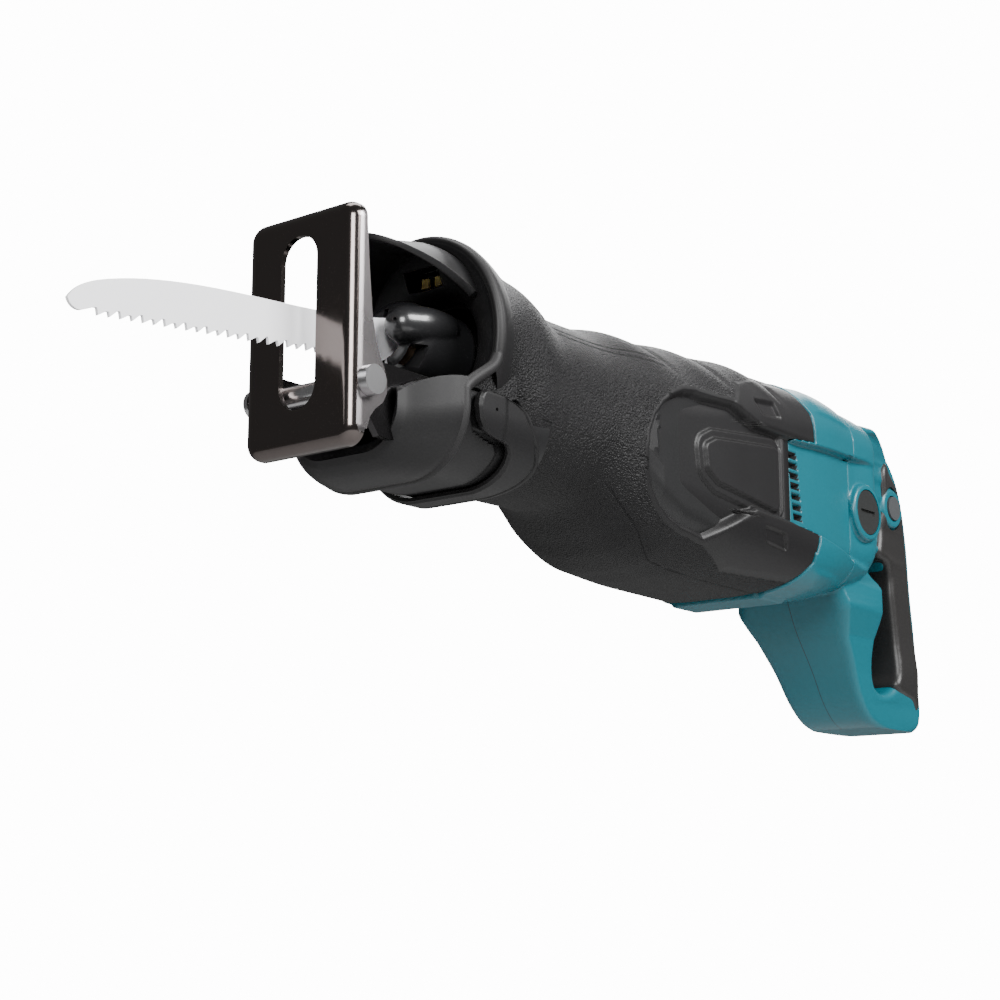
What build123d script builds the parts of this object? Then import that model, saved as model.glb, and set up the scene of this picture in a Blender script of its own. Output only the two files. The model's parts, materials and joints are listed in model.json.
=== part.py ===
from build123d import *

import math
import os

# Corded reciprocating saw, in millimetres.
# +X runs back from the shoe's working face, +Z is up and -Y is the left side.
# The origin is where the stroke axis crosses the shoe's working face.

os.makedirs("parts", exist_ok=True)

# Axes of the drive
MOTOR_Z = -25.0
WOBBLE_Z = -45.0
WOBBLE_X = 188.0
STROKE_HALF = 15.0

# Outer envelope of the casing: station, half width, top, bottom, corner radius
ENVELOPE = [
    (96.0, 41.0, 36.0, -53.0, 36.0),
    (122.0, 39.0, 27.5, -54.0, 35.0),
    (148.0, 40.0, 27.0, -53.0, 35.0),
    (170.0, 44.5, 28.0, -63.0, 36.0),
    (182.0, 46.5, 28.2, -69.5, 36.0),
    (197.0, 47.5, 28.5, -74.0, 36.0),
    (235.0, 48.5, 30.0, -75.0, 33.0),
    (300.0, 48.5, 30.0, -75.0, 28.0),
    (318.0, 47.5, 30.0, -73.0, 26.0),
    (349.0, 43.2, 29.0, -66.4, 22.0),
    (374.0, 41.0, 28.0, -60.0, 20.0),
    (388.0, 33.0, 27.0, -53.0, 17.0),
    (398.0, 25.0, 26.0, -45.0, 14.0),
]
BOOT_WALL = 3.5
BOOT_GAP = 0.2
UNDER_BOOT = BOOT_WALL + BOOT_GAP
METAL_WALL = 3.6
PLASTIC_WALL = 2.8
JOINT_GAP = 0.2

# Where one casing meets the next along X
GEAR_REAR = 224.0
COVER_REAR = 243.0
BOOT_SIDE_END = 281.0
BOOT_FINGER_END = 303.0
BOOT_BELLY_END = 272.0
MOTOR_REAR = 349.0

# Slider, bushes and blade clamp
ROD_R = 8.0
ROD_FRONT = 57.0
ROD_REAR = 247.0
FRONT_BUSH = (112.0, 136.0)
REAR_BUSH = (226.0, 240.0)
BUSH_R = 11.0
RUNNING = 0.05
SLEEVE = (57.0, 86.0)
SLEEVE_R = 15.0
CLAMP_PIN_X = 72.0
CLAMP_PIN_R = 2.4

# Blade
BLADE_DROOP = 6.0
BLADE_ROOT = (55.0, -0.4)
BLADE_THICK = 1.3
TOOTH_PITCH = 5.0
TOOTH_LINE = -9.5
TOOTH_DEPTHS = (2.6, 1.8)
TOOTH_COUNT = 31

TANG_LENGTH = 22.0
TANG_HALF = 5.2
CLAMP_PIN_Z = BLADE_ROOT[1] + (CLAMP_PIN_X - BLADE_ROOT[0]) * math.tan(math.radians(BLADE_DROOP))

# Shoe and its support
SHOE_HALF_WIDTH = 28.4
SHOE_TOP = 38.5
SHOE_BOTTOM = -55.0
SHOE_SHEET = 2.4
SHOE_DEPTH = 7.0
SLOT_WIDTH = 18.6
SLOT_TOP = 28.5
SLOT_BOTTOM = -39.0
SHOE_PIN = (8.0, -31.0)
SHOE_PIN_R = 4.0
TONGUE_HALF = 17.0
TONGUE = (-44.0, -41.0)

# Nose under the hood, and the shoe lock lever on it
NOSE_TOP = -23.9
NOSE_REAR = 107.2
LEVER_PIVOT = (70.0, -30.0)
LEVER_PIN_R = 2.0

# Hood
HOOD_OPENING_R = 22.5
HOOD_REAR = 97.0

# Bearings on the wobble shaft and the armature: start and end along X, radius, bore
WOBBLE_FRONT = ((166.0, 172.0), 9.5, 3.0)
WOBBLE_REAR = ((224.0, 231.0), 11.0, 4.0)
ARMATURE_FRONT = ((233.0, 241.0), 13.0, 5.0)
ARMATURE_REAR = ((379.0, 386.0), 11.0, 4.0)

# Wobble ring
HUB_R = 12.0
RING_BORE_R = 12.4
RING_R = 15.8
RING_WIDTH = 9.0

# Gears
GEAR_MODULE = 1.0
PINION_TEETH = 8
WHEEL_TEETH = 32

# Handle
HANDLE_SPLIT = 0.05
OPENING_FRONT = 397.0
CAP_X = 363.7
CAP_R = 11.2
LOCK_BUTTON = (425.0, -11.0)
LOCK_BUTTON_R = 6.3
TRIGGER = (412.0, 431.0)
GRIP_HALF = 16.5
GLAND_Z = -118.0
GLAND_R = 6.5
CORD_R = 3.6
HANDLE_SCREWS = ((404.0, 8.0), (422.0, 11.0), (383.0, -84.0), (410.0, -118.5))
COVER_SCREWS = ((-32.0, 9.0), (32.0, 9.0), (-36.0, -48.0), (36.0, -48.0))


def save(builder, name):
    """Label one finished piece and write it."""
    builder.part.label = name
    export_step(builder.part, f"parts/{name}.step")


def envelope_at(x, grow):
    """Half width, top, bottom and corner radius of the casing at x, grown outwards."""
    pairs = zip(ENVELOPE, ENVELOPE[1:])
    low, high = next(p for p in pairs if x <= p[1][0] + 1e-6)
    share = (x - low[0]) / (high[0] - low[0])
    width, top, bottom, radius = (a + (b - a) * share for a, b in zip(low[1:], high[1:]))
    return width + grow, top + grow, bottom - grow, radius + grow


def casing(start, end, grow):
    """Lofted solid of the casing's envelope between two stations."""
    stops = [start] + [s[0] for s in ENVELOPE if start < s[0] < end] + [end]
    with BuildPart() as solid:
        for x in stops:
            width, top, bottom, radius = envelope_at(x, grow)
            with BuildSketch(Plane.YZ.offset(x)):
                with Locations((0, (top + bottom) / 2)):
                    RectangleRounded(2 * width, top - bottom, min(radius, width - 0.5))
        loft(ruled=True)
    return solid.part


def block(x, y, z):
    """Box from its ranges along X, Y and Z."""
    with BuildPart() as solid:
        with Locations(((x[0] + x[1]) / 2, (y[0] + y[1]) / 2, (z[0] + z[1]) / 2)):
            Box(x[1] - x[0], y[1] - y[0], z[1] - z[0])
    return solid.part


def rod_x(radius, x, y=0.0, z=0.0, bore=0.0):
    """Round bar or ring along X."""
    with BuildPart() as solid:
        with BuildSketch(Plane.YZ.offset(x[0])):
            with Locations((y, z)):
                Circle(radius)
                if bore:
                    Circle(bore, mode=Mode.SUBTRACT)
        extrude(amount=x[1] - x[0])
    return solid.part


def rod_y(radius, y, x, z, bore=0.0):
    """Round bar or ring along Y."""
    with BuildPart() as solid:
        with BuildSketch(Plane.XZ.offset(-y[1])):
            with Locations((x, z)):
                Circle(radius)
                if bore:
                    Circle(bore, mode=Mode.SUBTRACT)
        extrude(amount=y[1] - y[0])
    return solid.part


def side_plate(points, y, radius=0.0):
    """Plate with an XZ outline between two values of Y, its corners rounded."""
    with BuildPart() as solid:
        with BuildSketch(Plane.XZ.offset(-y[1])) as outline:
            with BuildLine():
                Polyline(*points, close=True)
            make_face()
            if radius:
                fillet(outline.vertices(), radius)
        extrude(amount=y[1] - y[0])
    return solid.part


def spun(points):
    """Solid of revolution about X from (x, radius) points."""
    with BuildPart() as solid:
        with BuildSketch(Plane.XZ):
            with BuildLine():
                Polyline(*points, close=True)
            make_face()
        revolve(axis=Axis.X)
    return solid.part


def coil(start, direction, length, radius, turns, wire):
    """Compression spring from a start point along a direction."""
    with BuildPart() as solid:
        with BuildLine() as path:
            Helix(length / turns, length, radius, center=start, direction=direction)
        with BuildSketch(Plane(origin=path.line @ 0, z_dir=path.line % 0)):
            Circle(wire)
        sweep(is_frenet=True)
    return solid.part


def toothed(teeth, phase):
    """Points round a spur gear whose teeth are a little thin, for running clearance."""
    pitch = GEAR_MODULE * teeth / 2
    radii = (pitch - 1.15 * GEAR_MODULE, pitch, pitch + 0.85 * GEAR_MODULE)
    half_widths = (0.85 * GEAR_MODULE, 0.62 * GEAR_MODULE, 0.25 * GEAR_MODULE)
    corners = list(zip(radii, half_widths))
    points = []
    for tooth in range(teeth):
        middle = phase + 2 * math.pi * tooth / teeth
        for side, order in ((-1, corners), (1, corners[::-1])):
            for radius, half in order:
                angle = middle + side * half / radius
                points.append((radius * math.cos(angle), radius * math.sin(angle)))
    return points


def gear_x(teeth, phase, x, z):
    """Spur gear on an axis along X."""
    with BuildPart() as solid:
        with BuildSketch(Plane.YZ.offset(x[0])):
            with Locations((0, z)):
                with BuildLine(mode=Mode.PRIVATE) as rim:
                    Polyline(*toothed(teeth, phase), close=True)
                add(make_face(rim.edges(), mode=Mode.PRIVATE))
        extrude(amount=x[1] - x[0])
    return solid.part


# ---------------------------------------------------------------- blade and clamp

blade_plane = Plane(
    origin=(BLADE_ROOT[0], BLADE_THICK / 2, BLADE_ROOT[1]),
    x_dir=(-math.cos(math.radians(BLADE_DROOP)), 0, -math.sin(math.radians(BLADE_DROOP))),
    z_dir=(0, 1, 0),
)
teeth = []
for i in range(TOOTH_COUNT):
    tip = 1.5 + i * TOOTH_PITCH
    depth = TOOTH_DEPTHS[i % 2]
    teeth += [(tip, TOOTH_LINE), (tip + 0.3, TOOTH_LINE + depth), (tip + 1.3, TOOTH_LINE + depth)]
with BuildPart() as blade:
    with BuildSketch(blade_plane):
        with BuildLine():
            tang = [(-TANG_LENGTH, -TANG_HALF), (-1.0, -TANG_HALF), (0.0, TOOTH_LINE + 1.5)]
            line = Polyline(*tang, *teeth, (158.5, TOOTH_LINE + 0.9))
            nose = ThreePointArc(line @ 1, (163.0, -7.1), (164.2, -4.8))
            back = Spline(nose @ 1, (160.0, -1.0), (147.0, 3.6), (128.0, 6.4), (78.0, 7.5), (0.0, 9.9))
            Polyline(back @ 1, (-1.0, TANG_HALF), (-TANG_LENGTH, TANG_HALF), tang[0])
        make_face()
        with Locations((BLADE_ROOT[0] - CLAMP_PIN_X, 0)):
            Circle(CLAMP_PIN_R + 0.2, mode=Mode.SUBTRACT)
    extrude(amount=-BLADE_THICK)
save(blade, "blade")

with BuildPart() as slider_rod:
    add(rod_x(ROD_R, (ROD_FRONT, ROD_REAR)))
    add(block((50.0, 81.0), (-0.8, 0.8), (-9.0, 9.0)), mode=Mode.SUBTRACT)
    with BuildSketch(Plane.XY.offset(-9.0)):
        with Locations((WOBBLE_X, 0)):
            SlotOverall(18.0, 9.2)
    extrude(amount=6.2, mode=Mode.SUBTRACT)
    with BuildSketch(Plane.XY.offset(-3.0)):
        with Locations((WOBBLE_X, 0)):
            Circle(4.6)
    extrude(amount=8.5, mode=Mode.SUBTRACT)
    add(rod_y(CLAMP_PIN_R + 0.02, (-9.0, 9.0), CLAMP_PIN_X, CLAMP_PIN_Z), mode=Mode.SUBTRACT)
save(slider_rod, "slider_rod")

with BuildPart() as clamp_pin:
    add(rod_y(CLAMP_PIN_R, (-7.0, 7.0), CLAMP_PIN_X, CLAMP_PIN_Z))
save(clamp_pin, "clamp_pin")

with BuildPart() as clamp_sleeve:
    add(spun([(57.0, 8.1), (57.0, 12.5), (60.0, 15.0), (84.0, 15.0), (86.0, 13.5), (86.0, 8.1)]))
    add(block((62.0, 82.0), (-19.0, -12.0), (-1.0, 8.0)))
    add(rod_x(8.1, (50.0, 90.0)), mode=Mode.SUBTRACT)
    add(block((63.0, 80.0), (-10.2, 10.2), (-10.2, 10.2)), mode=Mode.SUBTRACT)
save(clamp_sleeve, "clamp_sleeve")

with BuildPart() as clamp_spring:
    add(coil((64.5, 0, 0), (1, 0, 0), 13.0, 9.1, 6, 0.55))
save(clamp_spring, "clamp_spring")

with BuildPart() as rod_seal:
    add(rod_x(13.0, (107.0, 111.0), bore=ROD_R + RUNNING))
save(rod_seal, "rod_seal")

for bush_name, span in (("front_bush", FRONT_BUSH), ("rear_bush", REAR_BUSH)):
    with BuildPart() as bush:
        add(rod_x(BUSH_R, span, bore=ROD_R + RUNNING))
    save(bush, bush_name)

# ---------------------------------------------------------------- shoe

slot_centre = (SLOT_TOP + SLOT_BOTTOM) / 2
shoe_centre = (SHOE_TOP + SHOE_BOTTOM) / 2
shoe_height = SHOE_TOP - SHOE_BOTTOM
with BuildPart() as pan:
    with BuildSketch(Plane.YZ.offset(SHOE_SHEET)):
        with Locations((0, shoe_centre)):
            RectangleRounded(2 * (SHOE_HALF_WIDTH - SHOE_SHEET), shoe_height - 2 * SHOE_SHEET, 4.6)
    extrude(amount=SHOE_DEPTH)
    fillet(pan.faces().sort_by(Axis.X)[0].edges(), 3.1)

with BuildPart() as shoe:
    with BuildSketch(Plane.YZ):
        with Locations((0, shoe_centre)):
            RectangleRounded(2 * SHOE_HALF_WIDTH, shoe_height, 7.0)
    extrude(amount=SHOE_DEPTH)
    fillet(shoe.faces().sort_by(Axis.X)[0].edges(), 5.5)
    add(pan.part, mode=Mode.SUBTRACT)
    flange = [(5.6, 30.0), (7.0, 30.0), (8.4, 12.0), (10.4, -6.0), (13.2, -17.0), (17.0, -24.0), (18.6, -28.5)]
    flange += [(18.6, -33.5), (16.5, -37.5), (12.5, -40.5), (9.6, -44.0), (8.0, -49.0), (5.6, -49.0)]
    for side in (-1, 1):
        outer = side * SHOE_HALF_WIDTH
        inner = side * (SHOE_HALF_WIDTH - SHOE_SHEET)
        add(side_plate(flange, (min(outer, inner), max(outer, inner))))
    with BuildSketch(Plane.YZ.offset(-1.0)):
        with Locations((0, slot_centre)):
            SlotOverall(SLOT_TOP - SLOT_BOTTOM, SLOT_WIDTH, rotation=90)
    extrude(amount=6.0, mode=Mode.SUBTRACT)
    add(rod_y(SHOE_PIN_R + RUNNING, (-40.0, 40.0), *SHOE_PIN), mode=Mode.SUBTRACT)
save(shoe, "shoe")

with BuildPart() as shoe_pin:
    add(rod_y(SHOE_PIN_R, (-SHOE_HALF_WIDTH - 0.2, SHOE_HALF_WIDTH + 0.2), *SHOE_PIN))
    add(rod_y(5.6, (-SHOE_HALF_WIDTH - 4.2, -SHOE_HALF_WIDTH - 0.15), *SHOE_PIN))
    add(rod_y(5.6, (SHOE_HALF_WIDTH + 0.15, SHOE_HALF_WIDTH + 2.2), *SHOE_PIN))
save(shoe_pin, "shoe_pin")

with BuildPart() as shoe_support:
    arm = [(14.0, -20.5), (52.0, -20.5), (52.0, -49.0), (19.0, -49.0), (8.0, -35.5), (8.0, -26.5)]
    for side in (-1, 1):
        span = (side * 22.8 - 1.5, side * 22.8 + 1.5)
        add(side_plate(arm, span))
        add(rod_y(5.0, span, *SHOE_PIN))
    add(block((22.0, 52.0), (-22.5, 22.5), TONGUE))
    add(block((50.0, 145.0), (-TONGUE_HALF, TONGUE_HALF), TONGUE))
    add(rod_y(SHOE_PIN_R, (-40.0, 40.0), *SHOE_PIN), mode=Mode.SUBTRACT)
save(shoe_support, "shoe_support")

# ---------------------------------------------------------------- nose, lever and boot


def nose_form(half_width, bottom, radius, x):
    """Round-bottomed form below the stroke axis, open at the top."""
    with BuildPart() as solid:
        with BuildSketch(Plane.YZ.offset(x[0])):
            with Locations((0, (bottom + 30.0) / 2)):
                RectangleRounded(2 * half_width, 30.0 - bottom, radius)
        extrude(amount=x[1] - x[0])
        add(block((x[0] - 1, x[1] + 1), (-90, 90), (NOSE_TOP, 90)), mode=Mode.SUBTRACT)
    return solid.part


with BuildPart() as gear_housing:
    add(casing(HOOD_REAR, GEAR_REAR, -UNDER_BOOT))
    add(block((90, NOSE_REAR), (-60, 60), (-90, NOSE_TOP)), mode=Mode.SUBTRACT)
    add(rod_x(36.0, (88.8, 95.8)) - block((88, 99), (-60, 60), (-60, NOSE_TOP)))
    add(rod_x(31.6, (88.8, HOOD_REAR + 1.0)))
    add(nose_form(36.5, -53.5, 24.0, (56.4, NOSE_REAR)))
    add(casing(146.0, GEAR_REAR + 1, -UNDER_BOOT - METAL_WALL), mode=Mode.SUBTRACT)
    boss_span = (144.0, WOBBLE_FRONT[0][1] + 1.0)
    add(rod_x(13.5, boss_span, z=WOBBLE_Z) & casing(*boss_span, -UNDER_BOOT))
    for y, z in COVER_SCREWS:
        add(rod_x(4.6, (196.0, GEAR_REAR), y, z))
        add(rod_x(1.8, (206.0, GEAR_REAR + 1), y, z), mode=Mode.SUBTRACT)
    add(rod_x(21.5, (80.0, 107.0)), mode=Mode.SUBTRACT)
    add(rod_x(13.0, (106.0, 111.0)), mode=Mode.SUBTRACT)
    add(rod_x(BUSH_R, FRONT_BUSH), mode=Mode.SUBTRACT)
    add(rod_x(ROD_R + 0.6, (100.0, 150.0)), mode=Mode.SUBTRACT)
    slot_z = (TONGUE[0] - 0.3, TONGUE[1] + 0.3)
    add(block((50.0, 147.0), (-TONGUE_HALF - 0.3, TONGUE_HALF + 0.3), slot_z), mode=Mode.SUBTRACT)
    add(rod_x(WOBBLE_FRONT[1], (WOBBLE_FRONT[0][0], 180.0), z=WOBBLE_Z), mode=Mode.SUBTRACT)
    add(rod_y(LEVER_PIN_R, (-36.6, -26.0), *LEVER_PIVOT), mode=Mode.SUBTRACT)
    add(rod_y(LEVER_PIN_R, (26.0, 36.6), *LEVER_PIVOT), mode=Mode.SUBTRACT)
save(gear_housing, "gear_housing")

lever_side = [(61.0, -36.0), (58.5, -30.0), (62.0, -25.5), (78.0, -24.5), (104.0, -44.0), (101.0, -51.0)]
lever_side += [(92.0, -59.5), (82.0, -59.5), (82.0, -50.0), (78.0, -42.0), (70.0, -38.0)]
with BuildPart() as shoe_lever:
    add(side_plate(lever_side, (-41.5, 41.5)))
    outside = block((50, 120), (-90, 90), (-90, 90)) - nose_form(41.5, -59.5, 27.0, (50.0, 120.0))
    add(outside, mode=Mode.SUBTRACT)
    add(nose_form(37.5, -55.2, 24.6, (40.0, 130.0)), mode=Mode.SUBTRACT)
    add(rod_y(LEVER_PIN_R + RUNNING, (-50.0, 50.0), *LEVER_PIVOT), mode=Mode.SUBTRACT)
save(shoe_lever, "shoe_lever")

with BuildPart() as lever_pins:
    add(rod_y(LEVER_PIN_R, (-41.3, -27.0), *LEVER_PIVOT))
    add(rod_y(LEVER_PIN_R, (27.0, 41.3), *LEVER_PIVOT))
save(lever_pins, "lever_pins")

hood_ring = [(63.0, 47.0), (66.0, 48.4), (72.0, 48.4), (96.8, 41.0), (96.8, 36.2), (88.6, 36.2)]
hood_ring += [(88.6, HOOD_OPENING_R), (84.0, HOOD_OPENING_R), (78.0, 28.0), (66.0, 44.5)]
visor = [(30.0, 43.5), (66.0, 48.4), (68.0, 45.0), (66.0, 44.5), (30.0, 39.8)]
bumper_stations = ((22.0, 28.5, -54.5), (34.0, 36.0, -60.5), (50.0, 42.5, -61.5), (56.0, 42.5, -61.0))
with BuildPart() as bumper:
    for x, half_width, bottom in bumper_stations:
        with BuildSketch(Plane.YZ.offset(x)):
            with Locations((0, (bottom + 10.0) / 2)):
                RectangleRounded(2 * half_width, 10.0 - bottom, 0.62 * half_width)
    loft(ruled=True)
    add(block((20, 60), (-50, 50), (-20.0, 30)), mode=Mode.SUBTRACT)
    add(block((20, 60), (-26.5, 26.5), (-51.0, 30)), mode=Mode.SUBTRACT)

with BuildPart() as rubber_boot:
    add(spun(hood_ring))
    collar = spun([(95.9, 41.3), (98.5, 40.4), (98.5, 25.0), (95.9, 25.0)])
    add(collar - casing(95.8, 99.0, -BOOT_WALL))
    add(block((50, NOSE_REAR + 0.3), (-60, 60), (-90, NOSE_TOP + 0.2)), mode=Mode.SUBTRACT)
    add(spun(visor) & side_plate([(20, 34), (62, 14), (70, 14), (70, 60), (20, 60)], (-60, 60)))
    add(casing(96.0, BOOT_FINGER_END, 0.0) - casing(95.9, BOOT_FINGER_END + 1, -BOOT_WALL)
        - block((90, NOSE_REAR + 0.3), (-60, 60), (-90, NOSE_TOP + 0.2)))
    add(block((50, 82), (-60, 60), (-90, -20.6)), mode=Mode.SUBTRACT)
    add(bumper.part)
    for side in (-1, 1):
        bridge_y = sorted((side * 37.0, side * 42.5))
        add(block((50.0, 70.0), bridge_y, (-20.6, -14.0)))
    add(block((BOOT_SIDE_END, 320), (-60, 60), (-46.0, 8.0)), mode=Mode.SUBTRACT)
    add(block((BOOT_BELLY_END, 320), (-26, 26), (-90.0, -46.0)), mode=Mode.SUBTRACT)
    add(block((71.0, 90.0), (-9.0, 9.0), (26.0, 34.0)), mode=Mode.SUBTRACT)
save(rubber_boot, "rubber_boot")

with BuildPart() as light_lens:
    add(block((74.0, 76.0), (-9.0, 9.0), (26.0, 34.0)))
save(light_lens, "light_lens")

with BuildPart() as light_leds:
    for y in (-3.5, 3.5):
        add(block((76.6, 78.0), (y - 1.8, y + 1.8), (28.0, 32.0)))
save(light_leds, "light_leds")

with BuildPart() as light_board:
    add(block((78.0, 79.6), (-8.5, 8.5), (26.5, 33.5)))
save(light_board, "light_board")

# ---------------------------------------------------------------- wobble drive

bearings = (
    ("wobble_front_bearing", WOBBLE_FRONT, WOBBLE_Z),
    ("wobble_rear_bearing", WOBBLE_REAR, WOBBLE_Z),
    ("armature_front_bearing", ARMATURE_FRONT, MOTOR_Z),
    ("armature_rear_bearing", ARMATURE_REAR, MOTOR_Z),
)
for bearing_name, (span, radius, bore), z in bearings:
    with BuildPart() as bearing:
        add(rod_x(radius, span, z=z, bore=bore + RUNNING))
    save(bearing, bearing_name)

with BuildPart() as wobble_shaft:
    add(rod_x(WOBBLE_FRONT[2], (WOBBLE_FRONT[0][0] + 0.2, 174.0), z=WOBBLE_Z))
    add(rod_x(WOBBLE_REAR[2], (174.0, 230.5), z=WOBBLE_Z))
save(wobble_shaft, "wobble_shaft")

hub_tilt = math.degrees(math.atan(STROKE_HALF / -WOBBLE_Z))
with BuildPart() as wobble_hub:
    with Locations((WOBBLE_X, 0, WOBBLE_Z)):
        Sphere(HUB_R)
        Box(9.0, 40.0, 40.0, rotation=(0, 0, hub_tilt), mode=Mode.INTERSECT)
        Cylinder(7.5, 18.0, rotation=(0, 90, 0))
        Cylinder(4.0, 60.0, rotation=(0, 90, 0), mode=Mode.SUBTRACT)
save(wobble_hub, "wobble_hub")

arm_foot = WOBBLE_Z + (RING_R + RING_BORE_R) / 2
with BuildPart() as wobble_ring:
    with Locations((WOBBLE_X, 0, WOBBLE_Z)):
        Cylinder(RING_R, RING_WIDTH, rotation=(0, 90, 0))
    with BuildSketch(Plane.XY.offset(arm_foot)):
        with Locations((WOBBLE_X, 0)):
            Circle(3.0)
    extrude(amount=-arm_foot)
    with Locations((WOBBLE_X, 0, 0)):
        Sphere(4.1)
    with Locations((WOBBLE_X, 0, WOBBLE_Z)):
        Sphere(RING_BORE_R, mode=Mode.SUBTRACT)
save(wobble_ring, "wobble_ring")

with BuildPart() as wobble_gear:
    add(gear_x(WHEEL_TEETH, math.pi / 2, (212.0, 221.0), WOBBLE_Z))
    add(rod_x(4.0, (200.0, 230.0), z=WOBBLE_Z), mode=Mode.SUBTRACT)
save(wobble_gear, "wobble_gear")

with BuildPart() as gear_cover:
    add(casing(GEAR_REAR + JOINT_GAP, COVER_REAR, -UNDER_BOOT))
    add(rod_x(BUSH_R, REAR_BUSH), mode=Mode.SUBTRACT)
    add(rod_x(ROD_R + 0.6, (220.0, 250.0)), mode=Mode.SUBTRACT)
    add(rod_x(WOBBLE_REAR[1], (220.0, WOBBLE_REAR[0][1]), z=WOBBLE_Z), mode=Mode.SUBTRACT)
    add(rod_x(ARMATURE_FRONT[1], (ARMATURE_FRONT[0][0], 250.0), z=MOTOR_Z), mode=Mode.SUBTRACT)
    add(rod_x(7.0, (220.0, 250.0), z=MOTOR_Z), mode=Mode.SUBTRACT)
    for y, z in COVER_SCREWS:
        add(rod_x(1.9, (220.0, 250.0), y, z), mode=Mode.SUBTRACT)
        add(rod_x(3.9, (239.5, 250.0), y, z), mode=Mode.SUBTRACT)
save(gear_cover, "gear_cover")

with BuildPart() as cover_screws:
    for y, z in COVER_SCREWS:
        add(rod_x(1.75, (208.0, 240.0), y, z))
        add(rod_x(3.6, (239.5, 242.5), y, z))
save(cover_screws, "cover_screws")

# ---------------------------------------------------------------- motor

with BuildPart() as armature_shaft:
    add(gear_x(PINION_TEETH, -math.pi / 2 + math.pi / PINION_TEETH, (210.0, 223.0), MOTOR_Z))
    add(rod_x(4.0, (223.0, 231.0), z=MOTOR_Z))
    add(rod_x(5.0, (231.0, 374.0), z=MOTOR_Z))
    add(rod_x(4.0, (374.0, 387.0), z=MOTOR_Z))
save(armature_shaft, "armature_shaft")

with BuildPart() as armature_core:
    add(rod_x(22.0, (300.0, 340.0), z=MOTOR_Z, bore=5.0))
    with BuildSketch(Plane.YZ.offset(299.0)):
        with Locations((0, MOTOR_Z)):
            with PolarLocations(20.5, 12):
                Rectangle(5.0, 1.8)
    extrude(amount=42.0, mode=Mode.SUBTRACT)
save(armature_core, "armature_core")

with BuildPart() as armature_windings:
    add(rod_x(19.5, (290.5, 300.0), z=MOTOR_Z, bore=5.0))
    add(rod_x(19.5, (340.0, 350.0), z=MOTOR_Z, bore=5.0))
save(armature_windings, "armature_windings")

with BuildPart() as commutator:
    add(rod_x(12.0, (352.0, 372.0), z=MOTOR_Z, bore=5.0))
    with BuildSketch(Plane.YZ.offset(355.0)):
        with Locations((0, MOTOR_Z)):
            with PolarLocations(11.8, 24):
                Rectangle(1.2, 0.5)
    extrude(amount=18.0, mode=Mode.SUBTRACT)
save(commutator, "commutator")

with BuildPart() as motor_fan:
    add(rod_x(34.0, (276.0, 278.0), z=MOTOR_Z))
    add(rod_x(9.0, (278.0, 288.0), z=MOTOR_Z))
    with BuildSketch(Plane.YZ.offset(277.0)):
        with Locations((0, MOTOR_Z)):
            with PolarLocations(21.0, 18):
                Rectangle(25.0, 1.4, rotation=20)
    extrude(amount=10.0)
    add(rod_x(5.0, (270.0, 290.0), z=MOTOR_Z), mode=Mode.SUBTRACT)
save(motor_fan, "motor_fan")

with BuildPart() as stator:
    add(rod_x(39.0, (300.0, 340.0), z=MOTOR_Z, bore=23.0))
    for side in (-1, 1):
        add(block((299, 341), sorted((side * 26.0, side * 34.0)), (MOTOR_Z - 6, MOTOR_Z + 6)),
            mode=Mode.SUBTRACT)
save(stator, "stator")

with BuildPart() as field_coils:
    for x in ((290.5, 300.0), (340.0, 348.0)):
        add(rod_x(35.5, x, z=MOTOR_Z, bore=25.0))
    for side in (-1, 1):
        add(block((289, 350), (-40, 40), sorted((MOTOR_Z + 4.0 * side, MOTOR_Z - 4.0 * side))),
            mode=Mode.SUBTRACT)
save(field_coils, "field_coils")

with BuildPart() as air_baffle:
    add(casing(266.0, 269.0, -UNDER_BOOT - PLASTIC_WALL - 0.1))
    add(rod_x(22.0, (260.0, 275.0), z=MOTOR_Z), mode=Mode.SUBTRACT)
save(air_baffle, "air_baffle")

# ---------------------------------------------------------------- motor housing

with BuildPart() as motor_housing:
    add(casing(COVER_REAR + JOINT_GAP, BOOT_FINGER_END + JOINT_GAP, -UNDER_BOOT))
    add(casing(BOOT_FINGER_END + JOINT_GAP, MOTOR_REAR, 0.0))
    side_panel = casing(BOOT_SIDE_END + JOINT_GAP, BOOT_FINGER_END + JOINT_GAP, 0.0)
    add(side_panel & block((270, 310), (-60, 60), (-45.8, 7.8)))
    belly = casing(BOOT_BELLY_END + JOINT_GAP, BOOT_FINGER_END + JOINT_GAP, 0.0)
    add(belly & block((270, 310), (-25.8, 25.8), (-90, -50)))
    add(casing(COVER_REAR, BOOT_FINGER_END + 2.8, -UNDER_BOOT - PLASTIC_WALL), mode=Mode.SUBTRACT)
    add(casing(BOOT_FINGER_END + 2.0, MOTOR_REAR + 1.0, -PLASTIC_WALL), mode=Mode.SUBTRACT)
    for x in ((304.0, 308.0), (332.0, 336.0)):
        add(casing(x[0], x[1], -1.0))
        add(rod_x(39.0, (x[0] - 0.1, x[1] + 0.1), z=MOTOR_Z), mode=Mode.SUBTRACT)
    for i in range(7):
        z = -40.6 + i * 5.2
        add(block((283.0, 291.0), (-60, 60), (z, z + 3.0)), mode=Mode.SUBTRACT)
save(motor_housing, "motor_housing")

# ---------------------------------------------------------------- handle

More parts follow.
